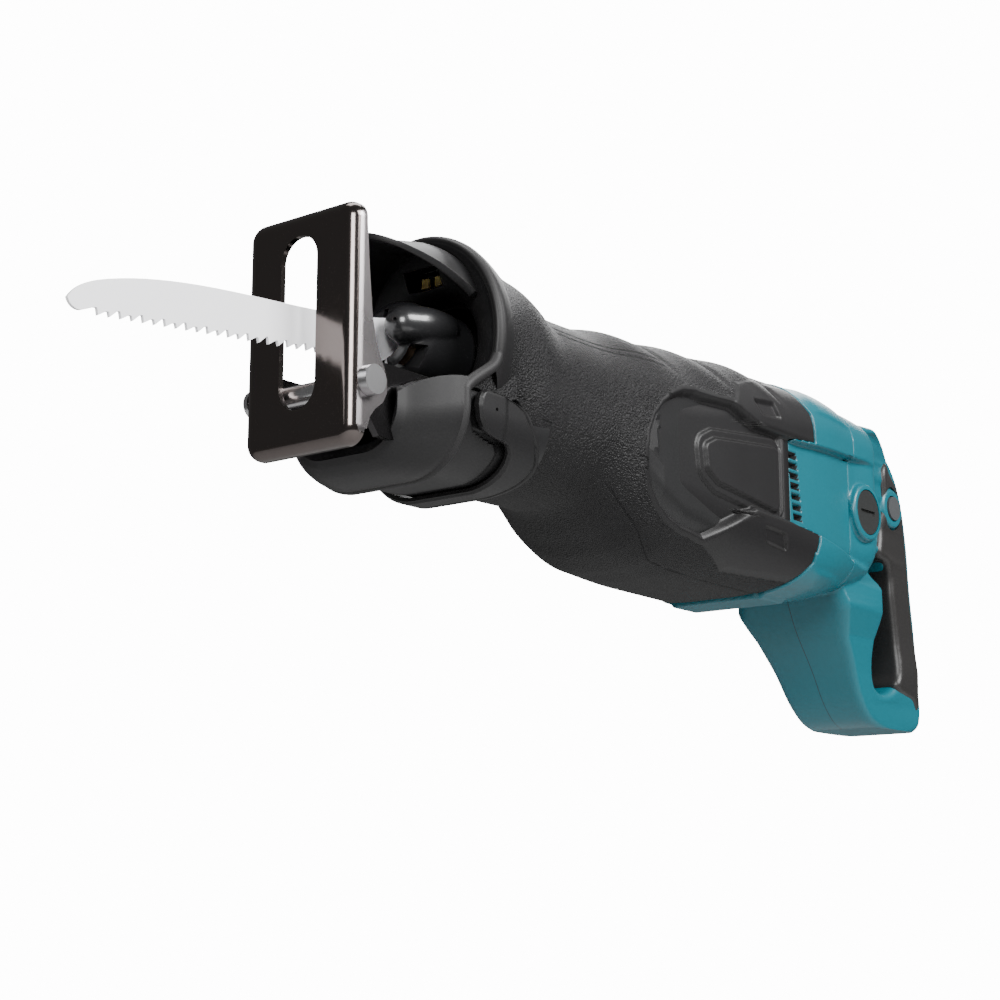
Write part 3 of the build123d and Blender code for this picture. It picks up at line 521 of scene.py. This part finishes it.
def build_boot():
    """Rubber body from the hood's neck back to the motor housing."""
    columns, rows = 560, 330
    turn = np.linspace(0, 2 * math.pi, columns, endpoint=False)
    reference = casing_surface(np.full(columns, 285.0), turn, 0.0)
    end = boot_end(reference[:, 1], reference[:, 2])
    start = boot_start(casing_surface(np.full(columns, 100.0), turn, 0.0)[:, 2])
    share = np.linspace(0, 1, rows)
    x = start[None, :] + share[:, None] * (end - start)[None, :]
    grid_turn = np.broadcast_to(turn, x.shape)
    edge = np.clip((end[None, :] - x) / 1.2, 0, 1)
    rim_drop = (1 - np.sqrt(1 - (1 - edge) ** 2)) * 1.1
    skin = casing_surface(x, grid_turn, lambda a, b, c: boot_relief(a, b, c) - BOOT_SKIN - rim_drop)
    under = [
        casing_surface(end - back, turn, -depth)
        for back, depth in ((0.3, BOOT_WALL), (8.0, BOOT_WALL), (8.5, 14.0))
    ]
    tunnel = [
        casing_surface(station, turn, -BOOT_TUNNEL_DEPTH)
        for station in (np.full(columns, BOOT_TUNNEL_REAR), start)
    ]
    rings = tunnel + [casing_surface(start, turn, -BOOT_WALL)] + list(skin) + under
    boot = closed_rings("boot_body", rings)
    place(boot, HOUSING, MATS["rubber_black"], "rubber_black", "rubber_boot")
    x, y, z = face_centres(boot)
    bare = polygon_gap(x, z, RECESS) < 2.0
    bare |= np.minimum(polygon_gap(x, z, UPPER_FINGER), polygon_gap(x, z, LOWER_FINGER)) < 0.5
    second_material(boot, MATS["smooth_rubber"], bare & (abs(y) > 20))


CASE_HALF_WIDTH = 41.4


def build_flat_gear_case(name):
    """Gear case with its sides drawn in to make room for the boot's deep side recess."""
    source = nodes[name]
    case = bpy.data.objects.new(name + "_body", source.data.copy())
    bpy.context.scene.collection.objects.link(case)
    case.matrix_world = source.matrix_world
    co = np.zeros(len(case.data.vertices) * 3)
    case.data.vertices.foreach_get("co", co)
    co = co.reshape(-1, 3)
    side = (co[:, 0] > 178 * MM) & (abs(co[:, 1]) > CASE_HALF_WIDTH * MM)
    co[side, 1] = np.sign(co[side, 1]) * CASE_HALF_WIDTH * MM
    case.data.vertices.foreach_set("co", co.ravel())
    case.data.update()
    place(case, HOUSING, MATS["cast_aluminium"], "cast_aluminium", name)


build_boot()
build_flat_gear_case("gear_housing")
build_flat_gear_case("gear_cover")


# ---------------------------------------------------------------- motor housing

VENT_COUNT = 7
VENT_PITCH = 4.9
VENT_LOW = -39.8
VENT_MIDDLE = 287.4
VENT_SLANT = 0.12


def ridge_relief(x, y, z):
    """Outward relief of the teal casing: a sunk side panel between two ridges."""
    low = np.interp(x, *PANEL_LOW)
    high = np.interp(x, *PANEL_HIGH)
    panel = ease(z, low - 0.4, low + 1.6) * (1 - ease(z, high - 1.6, high + 0.4))
    fade = 1 - ease(x, 352, 386)
    shift = 0.6 * fade - 3.9 * panel * fade * side_share(y)
    crease = ease(z, 13.5, 15.5) * ease(x, 300, 312) * (1 - ease(x, 338, 352))
    shift = shift + 0.8 * crease * side_share(y)
    foot = (1 - ease(z, -64, -61)) * ease(x, 300, 312) * (1 - ease(x, 326, 344))
    return shift + 0.7 * foot


def motor_relief(x, y, z):
    """Relief of the motor housing, lowered where the rubber covers it."""
    end = boot_end(y, z)
    under = 1 - ease(x, end + 0.4, end + 1.6)
    shift = ridge_relief(x, y, z) - 0.7
    shift = shift * (1 - under) - 6.2 * under
    lip = (z < -60) * (1 - ease(abs(y), 24, 27)) * (1 - ease(x, 306, 309))
    shift = shift + 1.6 * lip * (1 - under)
    lean = x + VENT_SLANT * (z - MOTOR_Z)
    for i in range(VENT_COUNT):
        middle = VENT_LOW + i * VENT_PITCH
        gap = np.maximum(abs(z - middle) - 1.45, abs(lean - VENT_MIDDLE) - 4.0)
        shift = shift - 3.0 * ease(-gap, -0.25, 0.35) * (1 - under)
    clip = np.maximum(abs(x - 345.5) - 3.2, abs(z - np.interp(x, *PANEL_HIGH) + 0.6) - 0.9)
    clip = np.minimum(clip, np.maximum(abs(x - 345.5) - 3.2, abs(z - np.interp(x, *PANEL_LOW) - 0.2) - 0.9))
    return shift - 2.6 * ease(-clip, -0.2, 0.4)


def build_motor_housing():
    """Teal housing between the rubber and the handle."""
    columns, rows = 640, 330
    turn = np.linspace(0, 2 * math.pi, columns, endpoint=False)
    x = np.linspace(MOTOR_START, MOTOR_REAR, rows)[:, None] * np.ones((1, columns))
    edge = np.clip((MOTOR_REAR - x) / 0.8, 0, 1)
    rim_drop = (1 - np.sqrt(1 - (1 - edge) ** 2)) * 0.7
    grid_turn = np.broadcast_to(turn, x.shape)
    skin = casing_surface(x, grid_turn, lambda a, b, c: motor_relief(a, b, c) - rim_drop)
    inner_end = casing_surface(np.full(columns, MOTOR_REAR - 0.1), turn, -9.5)
    inner_start = casing_surface(np.full(columns, MOTOR_START), turn, -9.5)
    housing = closed_rings("motor_shell", [inner_start] + list(skin) + [inner_end])
    place(housing, HOUSING, MATS["teal_plastic"], "teal_plastic", "motor_housing")
    x, y, z = face_centres(housing)
    # Faces inside the vent slots get a near-black material: painted shade in the slots, over their real 3 mm
    # recess.
    lean = x + VENT_SLANT * (z - MOTOR_Z)
    nearest = VENT_LOW + np.round((z - VENT_LOW) / VENT_PITCH) * VENT_PITCH
    vent_shade_faces = (abs(z - nearest) < 1.5) & (abs(lean - VENT_MIDDLE) < 4.1) & (abs(y) > 20)
    vent_shade_faces &= (z > VENT_LOW - 2) & (z < VENT_LOW + VENT_PITCH * (VENT_COUNT - 1) + 2)
    second_material(housing, MATS["painted_vent_shade"], vent_shade_faces)


build_motor_housing()


# ---------------------------------------------------------------- handle

LOOP_OUTER = [
    (372, 22), (388, 26), (405, 25), (421, 19.5), (433, 11), (441, -1), (447, -23), (450, -54),
    (453, -75), (456, -106), (455.4, -122), (450, -127.6), (404, -127.6), (392, -121), (376, -100),
    (357, -74), (352, -58),
]
LOOP_HOLE = [
    (398, -50), (397.5, -75), (399, -101), (404, -108), (420, -108), (427, -101), (425, -60),
    (421, -45), (414, -39.5), (403, -39.5),
]
GRIP_OUTLINE = [
    (417, 13), (428, 8.5), (437, 0), (443, -24), (446, -54), (451.5, -103), (450, -117), (444, -112),
    (434, -110), (424, -106.5), (426, -98), (423, -60), (419, -42), (409, -38), (411, -27), (414, -12),
]


FORM_HALF = 20.0


def loop_half_width(x, z):
    """Half width of the handle loop: its plan outline and its front outline, whichever is less."""
    plan = np.interp(x, [350, 360, 392, 424, 456.5], [27, 33, 33, 22.5, 20.5])
    front = np.interp(
        z, [-130, -101, -85, -70, -62, -50, -24, 0, 25], [20, 23.5, 26.5, 33, 36, 24, 22.5, 30, 40])
    return np.minimum(plan, front)


def side_form(name, outline, holes, round_edge, half_width):
    """Flat outline with holes, thickened along Y with rounded edges, then fitted to a width."""
    curve = bpy.data.curves.new(name, "CURVE")
    curve.dimensions = "2D"
    curve.fill_mode = "BOTH"
    for points in [outline] + holes:
        spline = curve.splines.new("BEZIER")
        spline.bezier_points.add(len(points) - 1)
        for place_at, (x, z) in zip(spline.bezier_points, points):
            place_at.co = (x, z, 0)
            place_at.handle_left_type = place_at.handle_right_type = "AUTO"
        spline.use_cyclic_u = True
        spline.resolution_u = 8
    curve.bevel_depth = round_edge
    curve.bevel_resolution = 5
    curve.offset = -round_edge
    curve.extrude = FORM_HALF - round_edge
    mesh = curve_mesh(name, curve)
    co = np.zeros(len(mesh.vertices) * 3)
    mesh.vertices.foreach_get("co", co)
    co = co.reshape(-1, 3)
    x, z, depth = co.T
    y = depth / FORM_HALF * half_width(x, z)
    faces = [tuple(p.vertices) for p in mesh.polygons]
    bpy.data.meshes.remove(mesh)
    obj = new_object(name, np.stack([x, y, z], 1), faces)
    bm = bmesh.new()
    bm.from_mesh(obj.data)
    bmesh.ops.remove_doubles(bm, verts=bm.verts, dist=0.02 * MM)
    bmesh.ops.recalc_face_normals(bm, faces=bm.faces)
    bm.to_mesh(obj.data)
    bm.free()
    return obj


def rear_body():
    """Rounded end of the casing that the handle grows from."""
    columns, rows = 320, 70
    turn = np.linspace(0, 2 * math.pi, columns, endpoint=False)
    x = np.linspace(HANDLE_FRONT, 397.0, rows)[:, None] * np.ones((1, columns))
    grid_turn = np.broadcast_to(turn, x.shape)
    skin = casing_surface(x, grid_turn, lambda a, b, c: ridge_relief(a, b, c) - 0.7)
    return closed_rings("rear_body", list(skin))


HANDLE_BOX = ((300.0, -48.4, -127.9), (455.9, 48.4, 40.0))


def keep_inside(obj, limits):
    """Flatten whatever stands outside a box onto its faces."""
    co = np.zeros(len(obj.data.vertices) * 3)
    obj.data.vertices.foreach_get("co", co)
    co = np.clip(co.reshape(-1, 3), np.array(limits[0]) * MM, np.array(limits[1]) * MM)
    obj.data.vertices.foreach_set("co", co.ravel())
    obj.data.update()


def build_handle():
    """Teal handle: casing end, D loop and the bosses round the cap and the button."""
    handle = side_form("handle_shell", LOOP_OUTER, [LOOP_HOLE], 4.0, loop_half_width)
    bosses = [rear_body()]
    for side in (-1, 1):
        bosses.append(bar_y(*CAP_AT, [(side * 30, 14.4), (side * 41.4, 14.4), (side * 42.3, 13.4)]))
    bosses.append(bar_y(*LOCK_AT, [(-8, 10.8), (-23.6, 10.6), (-24.6, 9.6)]))
    join(handle, bosses)
    size = 0.7
    modify(handle, "REMESH", mode="VOXEL", voxel_size=size * MM)
    modify(handle, "SMOOTH", factor=0.5, iterations=4)
    keep_inside(handle, HANDLE_BOX)
    for side in (-1, 1):
        cut(handle, bar_y(*CAP_AT, [(side * 37.0, 11.6), (side * 47, 11.6)], count=96))
    cut(handle, bar_y(*LOCK_AT, [(-21, 6.9), (-27, 6.9)], count=96))
    cut(handle, box_tool((404, 440), (-8.4, 8.4), (-77, -42)))
    cut(handle, bar_x(0, -118.0, [(450, 6.8), (460, 6.8)]))
    smooth_shade(handle, 38)
    place(handle, HOUSING, MATS["handle_teal"], "teal_plastic", "handle_left", "handle_right")


def grip_half_width(x, z):
    """Half width of the rubber grip: proud of the teal loop, fuller at its lower end."""
    swell = 1.3 * np.exp(-((z + 98) / 11) ** 2)
    return loop_half_width(x, z) + 1.0 + swell


def build_grip():
    """Rubber overmould on the grip's sides and front."""
    grip = side_form("grip_rubber_sleeve", GRIP_OUTLINE, [], 3.4, grip_half_width)
    modify(grip, "REMESH", mode="VOXEL", voxel_size=0.8 * MM)
    modify(grip, "SMOOTH", factor=0.5, iterations=4)
    keep_inside(grip, HANDLE_BOX)
    cut(grip, box_tool((400, 440), (-8.5, 8.5), (-77.2, -30)))
    cut(grip, bar_y(*LOCK_AT, [(-14, 11.6), (-40, 11.6)], count=96))
    smooth_shade(grip, 38)
    place(grip, HOUSING, MATS["grip_rubber"], "grip_rubber", "grip_pad_left", "grip_pad_right")


build_handle()
build_grip()


# ---------------------------------------------------------------- hood and bumper

RIM_X = 67.0
OPENING_R = 22.5


def rim_radius(turn):
    """Radius of the hood's rim, fuller above than at the sides."""
    return 46.4 - 2.9 * np.cos(turn) ** 2


def casing_reach(x, turn):
    """Distance from the stroke axis to the casing, along a direction across it."""
    width, top, bottom, corner = np.moveaxis(hermite(ENVELOPE, np.maximum(x, 96.0)), -1, 0)
    height = (top - bottom) / 2
    middle = (top + bottom) / 2
    corner = np.minimum(corner, np.minimum(width, height) - 0.5)
    reach = np.full(x.shape, 20.0)
    for _ in range(60):
        qy = abs(reach * np.cos(turn)) - width + corner
        qz = abs(reach * np.sin(turn) - middle) - height + corner
        gap = np.hypot(np.maximum(qy, 0), np.maximum(qz, 0)) + np.minimum(np.maximum(qy, qz), 0)
        reach = reach - (gap - corner)
    return reach


def build_hood():
    """Flared rubber hood: neck, rim and the funnel down to the clamp's opening."""
    outer = [(108, 39.0), (100, 39.6), (92, 40.6), (85, 42.2), (79, 44.2), (74, 45.8)]
    lip = [(70, 46.6), (67.4, 46.0), (66.4, 44.6), (66.8, 43.0)]
    funnel = [(67.6, 41.0), (68.6, 37.0), (70.4, 32.0), (72.6, 28.0), (76.0, 24.8), (80.0, 23.2),
              (87, OPENING_R)]
    line = np.array(outer + lip + funnel + [(104, OPENING_R)], float)
    gaps = np.concatenate([[0], np.cumsum(np.hypot(*np.diff(line, axis=0).T))])
    path = hermite(np.column_stack([gaps, line]), np.linspace(0, gaps[-1], 170))
    start = np.interp(path[:, 0], [66.4, 69, 73, 108], [-19, -25, -35.0, -37])
    share = np.linspace(0, 1, 240)[None, :]
    turn = np.radians(start[:, None] + (180 - 2 * start[:, None]) * share)
    x = path[:, 0][:, None] * np.ones_like(turn)
    radius = path[:, 1][:, None] * np.ones_like(turn)
    flat = ease(radius, 36, 44) * 2.9 * np.cos(turn) ** 2
    is_outer = (np.arange(len(path)) < np.argmin(path[:, 0]))[:, None]
    blend = ease(x, 78, 104) * is_outer
    radius = (radius - flat) * (1 - blend) + (casing_reach(x, turn) - 0.2) * blend
    surface = np.stack([x, radius * np.cos(turn), radius * np.sin(turn)], -1)
    normal = np.cross(np.gradient(surface, axis=0), np.gradient(surface, axis=1))
    normal /= np.linalg.norm(normal, axis=-1, keepdims=True)
    hood = closed_sheet("hood", surface, surface - 0.9 * normal)
    cut(hood, box_tool((60, 80.5), (-9, 9), (26, 34)))
    smooth_shade(hood, 40)
    place(hood, HOUSING, MATS["smooth_rubber"], "rubber_black")
    hood.data.materials.append(MATS["rubber_black"])
    for face in hood.data.polygons:
        middle = face.center / MM
        if middle.x > 77.5 and math.hypot(middle.y, middle.z) > 31:
            face.material_index = 1


def build_visor():
    """Brim that shades the lamp: it leaves the funnel at the sides and sweeps forward above."""
    turn = np.radians(np.linspace(30, 150, 160))
    share = np.linspace(0, 1, 70)
    degrees = np.degrees(turn)
    front = np.interp(degrees, [30, 44, 58, 74, 90, 106, 122, 136, 150],
                      [69, 54, 40, 33, 30.5, 33, 40, 54, 69])
    front = np.convolve(np.pad(front, 9, "edge"), np.ones(19) / 19, "valid")
    back = 80.0
    x = back + share[:, None] * (front[None, :] - back)
    flare = np.interp(degrees, [30, 60, 90, 120, 150], [35.0, 40.0, 44.0, 40.0, 35.0])
    flare = np.convolve(np.pad(flare, 11, "edge"), np.ones(23) / 23, "valid")
    ahead = ease(70 - x, 0, 34)
    radius = flare[None, :] - 5.0 * np.sin(turn)[None, :] ** 4 * ahead
    radius = radius - 2.5 * (1 - ease(share, 0.0, 0.4))[:, None]
    outer = np.stack([x, radius * np.cos(turn), radius * np.sin(turn)], -1)
    thick = 3.4 - 1.2 * ahead
    inner = np.stack([x, (radius - thick) * np.cos(turn), (radius - thick) * np.sin(turn)], -1)
    visor = closed_sheet("visor", outer, inner)
    bevel = visor.modifiers.new("bevel", "BEVEL")
    bevel.width = 1.0 * MM
    bevel.segments = 3
    bevel.limit_method = "ANGLE"
    bevel.angle_limit = math.radians(50)
    return place(visor, HOUSING, MATS["smooth_rubber"], "rubber_black")


def trough_section(half_width, top, bottom, corner, count=80):
    """Open U section in Y and Z, from the left top round to the right top."""
    radius = min(corner, half_width)
    angles = np.linspace(math.pi, 2 * math.pi, count)
    y = half_width - radius
    arc_y = np.where(np.cos(angles) < 0, -y, y) + radius * np.cos(angles)
    arc_z = bottom + radius + radius * np.sin(angles)
    left = [(-half_width, z) for z in np.linspace(top, bottom + radius, 16)[:-1]]
    right = [(half_width, z) for z in np.linspace(bottom + radius, top, 16)[1:]]
    return np.array(left + list(zip(arc_y, arc_z)) + right)


def build_bumper():
    """Rubber trough below the blade that the shoe's arms slide in."""
    table = [
        (25.5, 27.5, -52.2, 17, -31),
        (28, 30.5, -55.0, 19, -29),
        (33, 34.5, -58.0, 22, -26),
        (39, 38.2, -59.6, 25, -24),
        (45, 41.2, -60.2, 27, -23),
        (49, 42.4, -60.2, 28, -22.8),
    ]
    x = np.linspace(table[0][0], table[-1][0], 70)
    rows = hermite(table, x)
    outer = []
    inner = []
    for station, (half, bottom, corner, top) in zip(x, rows):
        section = trough_section(half, top, bottom, corner)
        channel = trough_section(26.3, top, -50.8, 11)
        blend = ease(station, 25.5, 30.0)
        channel = section * (1 - blend) * 0.93 + channel * blend
        outer.append(np.column_stack([np.full(len(section), station), section]))
        inner.append(np.column_stack([np.full(len(section), station + 1.2 * (1 - blend)), channel]))
    bumper = closed_sheet("bumper", np.array(outer), np.array(inner))
    smooth_shade(bumper, 45)
    return place(bumper, HOUSING, MATS["smooth_rubber"], "rubber_black")


def build_lip():
    """Rounded bead along the hood's rim and the bumper's rear edge."""
    curve = bpy.data.curves.new("lip", "CURVE")
    curve.dimensions = "3D"
    path = []
    for angle in np.radians(np.linspace(194, -14, 60)):
        radius = rim_radius(angle) - 2.2
        path.append((RIM_X + 1.9, radius * math.cos(angle), radius * math.sin(angle)))
    path += [(65.5, 41.2, -15.0), (58.5, 40.9, -19.4), (51.8, 40.6, -24.0)]
    section = trough_section(40.4, -27.0, -58.6, 26.0, 50)[::-1]
    path += [(49.0, y, z) for y, z in section]
    path += [(51.8, -40.6, -24.0), (58.5, -40.9, -19.4), (65.5, -41.2, -15.0)]
    spline = curve.splines.new("NURBS")
    spline.points.add(len(path) - 1)
    for point, co in zip(spline.points, path):
        point.co = (*(c * MM for c in co), 1)
    spline.use_cyclic_u = True
    spline.order_u = 3
    spline.resolution_u = 3
    curve.bevel_depth = 2.4 * MM
    curve.bevel_resolution = 6
    lip = bpy.data.objects.new("hood_lip", curve_mesh("lip", curve))
    bpy.context.scene.collection.objects.link(lip)
    smooth_shade(lip)
    return place(lip, HOUSING, MATS["lip_rubber"], "rubber_black")


build_hood()
build_visor()
build_bumper()
build_lip()


def build_cheeks():
    """Sides of the boot that join the hood's rim to the trough."""
    outline = [(54, -24.5), (59.5, -20.0), (66, -15.8), (70, -11), (84, -11), (84, -24.0), (78, -26.0),
               (66, -24.6)]
    for side, name in ((-1, "cheek_left"), (1, "cheek_right")):
        rings = [[(x, side * y, z) for x, z in outline] for y in (35.0, 38.1)]
        cheek = closed_rings(name, rings)
        smooth_shade(cheek, 30)
        place(cheek, HOUSING, MATS["rubber_black"], "rubber_black")


def build_nose():
    """Rubber sleeve over the nose, between the trough and the lever."""
    outer = trough_section(38.2, -24.3, -56.3, 25.0, 120)
    inner = trough_section(35.2, -24.3, -52.4, 22.0, 120)
    end = np.interp(outer[:, 1], [-55.4, -50.5, -46.5, -44, -42.9, -41, -37, -32, -28, -24.3],
                    [78.5, 78, 77.5, 75, 68, 60, 56.5, 54.8, 55.2, 57])
    x = np.linspace(49.5, 101.0, 104)[None, :] * np.ones((len(outer), 1))
    drop = 0.5 * ease(x, end[:, None] - 1.2, end[:, None] + 0.4)
    grids = []
    for section, shrink in ((outer, drop), (inner, drop)):
        on_side = ease(section[:, 1:], -47, -42)
        y = section[:, :1] * (1 - shrink * (1 + 3 * on_side) / 40)
        z = section[:, 1:] + shrink * (section[:, 1:] < -40)
        grids.append(np.stack([x, y * np.ones_like(x), z * np.ones_like(x)], -1))
    nose = closed_sheet("nose_sleeve", *grids)
    smooth_shade(nose, 50)
    place(nose, HOUSING, MATS["smooth_rubber"], "rubber_black")


build_cheeks()
build_nose()


# ---------------------------------------------------------------- lever and clamp sleeve

def build_lever():
    """Bail that locks the shoe: a cheek on each side of the nose, joined by a bow below."""
    section = trough_section(40.9, -25.0, -59.3, 27.0, 150)
    y, z = section.T
    tangent = np.gradient(section, axis=0)
    outward = np.column_stack([tangent[:, 1], -tangent[:, 0]])
    outward /= np.linalg.norm(outward, axis=1, keepdims=True)
    outward *= np.sign(np.sum(outward * (section - [0, -30]), axis=1))[:, None]
    heights = [-59.3, -56, -53, -50.5, -48, -43, -38, -33, -29.5, -27.5, -26, -25]
    rear = np.interp(z, heights, [95, 98.5, 100.5, 101.3, 101, 98.5, 95.5, 91.5, 88.5, 84, 76, 68])
    heights = [-59.3, -54.5, -50, -46.5, -44.0, -42.9, -42.0, -40.5, -37, -32, -28.5, -26.5, -25]
    fore = np.interp(z, heights, [82, 82.5, 82, 80.8, 78.4, 72.0, 65.5, 62.0, 58.5, 57.2, 57.8, 59.2, 61.6])
    share = np.linspace(0, 1, 56)
    x = fore[:, None] + share[None, :] * (rear - fore)[:, None]
    height = z[:, None] * np.ones_like(x)
    boss = 1.0 - ease(x, 72.6, 74.6)
    edge = ease(np.minimum(x - fore[:, None], rear[:, None] - x), 0.0, 1.3)
    line = ease(-abs(rear[:, None] - x - 3.2) + 0.45, -0.35, 0.2)
    grow = 0.8 * boss * ease(height, -45, -42) - 1.1 * (1 - edge) - 0.6 * line
    rounded = ease(-25.0 - height, 0.0, 1.2)
    grow = grow - 0.8 * (1 - rounded)
    outer = np.stack([x, y[:, None] + outward[:, :1] * grow, height + outward[:, 1:] * grow], -1)
    depth = 2.6 * np.ones_like(x)
    inner = np.stack([x, y[:, None] - outward[:, :1] * depth, height - outward[:, 1:] * depth], -1)
    lever = closed_sheet("lever_bail", outer, inner)
    for side in (-1, 1):
        cut(lever, bar_y(67.0, -32.0, [(side * 37, 0.75), (side * 45, 0.75)], count=24))
    smooth_shade(lever, 40)
    place(lever, "lever", MATS["smooth_rubber"], "black_metal", "shoe_lever")


def build_sleeve():
    """Glossy turned clamp sleeve with a round thumb lobe and a window on its spring."""
    body = bar_x(0, 0, [(48.5, 9.0), (49.2, 11.8), (51.0, 14.0), (54.0, 15.8), (58.0, 16.8), (84.0, 16.8),
                        (85.5, 16.0), (86.0, 14.5)], count=96)
    parts = []
    lobe = [(48.0, -10.2, 3.2, 7.6), (52.0, -10.8, 3.8, 7.8), (57.0, -11.4, 4.6, 7.9),
            (63.0, -11.6, 5.4, 7.6), (70.0, -11.2, 6.2, 7.0)]
    stations = np.linspace(48.0, 70.0, 23)
    for x, (y, z, size) in zip(stations, hermite(lobe, stations)):
        turn = np.linspace(0.02, math.pi - 0.02, 28)
        parts.append(bar_x(y, z, [(x - size * math.cos(a), size * math.sin(a)) for a in turn], count=40))
    join(body, parts)
    modify(body, "REMESH", mode="VOXEL", voxel_size=0.6 * MM)
    modify(body, "SMOOTH", factor=0.5, iterations=8)
    cut(body, box_tool((35, 58), (-1.2, 1.2), (-13, 12)))
    cut(body, bar_x(0, 0, [(45, 8.3), (90, 8.3)], count=96))
    cut(body, bar_x(0, 0, [(56, 10.4), (80, 10.4)], count=96))
    cut(body, box_tool((49.8, 56.5), (-25, -3), (-12.5, -4.2)))
    cut(body, bar_x(-12.0, 3.6, [(35, 0.8), (45, 0.8)], count=24))
    smooth_shade(body, 38)
    ribs = [(49.5 + 0.25 * i, 10.0 + 0.55 * math.cos(math.pi * i / 2.5)) for i in range(30)]
    spring = bar_x(0, 0, ribs, name="sleeve_spring", count=72)
    cut(spring, bar_x(0, 0, [(45, 8.6), (60, 8.6)], count=72))
    cut(spring, box_tool((40, 58), (-1.2, 1.2), (-13, 12)))
    smooth_shade(spring, 50)
    place(spring, "sleeve", MATS["spring_steel"], "spring_steel")
    place(body, "sleeve", MATS["black_metal"], "black_metal", "clamp_sleeve")


build_lever()
build_sleeve()


# ---------------------------------------------------------------- stage, light and camera

FLOOR_Z = -600.0
FLOOR_R = 1500.0


def build_stage():
    """Pale round floor well below the tool."""
    turn = np.linspace(0, 2 * math.pi, 96, endpoint=False)
    rim = np.column_stack([200 + FLOOR_R * np.cos(turn), FLOOR_R * np.sin(turn), np.full(96, FLOOR_Z)])
    floor = new_object("floor", rim, [tuple(range(96))], smooth=False)
    floor.data.materials.append(material("floor_white", (0.46, 0.46, 0.46), 0.9, mottle=0.03))


def area_light(name, at, aim, size, power, colour=(1, 1, 1)):
    """Soft rectangular light."""
    data = bpy.data.lights.new(name, "AREA")
    data.shape = "RECTANGLE"
    data.size, data.size_y = size
    data.energy = power
    data.color = colour
    light = bpy.data.objects.new(name, data)
    bpy.context.scene.collection.objects.link(light)
    light.location = at
    light.rotation_euler = (Vector(aim) - Vector(at)).to_track_quat("-Z", "Y").to_euler()


def build_light():
    """White backdrop, a large soft key on the left, a strip above and one behind."""
    world = bpy.data.worlds.new("studio")
    bpy.context.scene.world = world
    world.use_nodes = True
    tree = world.node_tree
    shade = tree.nodes["Background"]
    shade.inputs["Color"].default_value = (1, 1, 1, 1)
    rays = tree.nodes.new("ShaderNodeLightPath")
    strength = tree.nodes.new("ShaderNodeMapRange")
    strength.inputs["To Min"].default_value = 0.14
    strength.inputs["To Max"].default_value = 14.0
    tree.links.new(rays.outputs["Is Camera Ray"], strength.inputs["Value"])
    tree.links.new(strength.outputs["Result"], shade.inputs["Strength"])
    area_light("key", (0.35, -1.55, 1.05), (0.2, 0, 0), (1.5, 0.8), 84)
    area_light("front", (-1.3, -0.9, 0.5), (0, 0, 0), (0.7, 0.7), 30)
    area_light("top", (0.3, 0.2, 1.5), (0.25, 0, 0), (1.4, 0.6), 18)
    area_light("rear", (1.3, 0.5, 0.9), (0.3, 0, 0), (0.8, 0.8), 12)


CAMERA_AT = (-0.4986, -0.4946, -0.2202)
CAMERA_HEADING = math.radians(38.6)
CAMERA_PITCH = math.radians(11.9)


def build_camera():
    """Camera low on the left, ahead of the tool."""
    data = bpy.data.cameras.new("camera")
    data.sensor_width = 36.0
    data.lens = 70.2
    data.clip_start = 0.01
    camera = bpy.data.objects.new("camera", data)
    bpy.context.scene.collection.objects.link(camera)
    look = Vector((
        math.cos(CAMERA_PITCH) * math.cos(CAMERA_HEADING),
        math.cos(CAMERA_PITCH) * math.sin(CAMERA_HEADING),
        math.sin(CAMERA_PITCH),
    ))
    camera.location = CAMERA_AT
    camera.rotation_euler = look.to_track_quat("-Z", "Y").to_euler()
    bpy.context.scene.camera = camera


build_stage()
build_light()
build_camera()
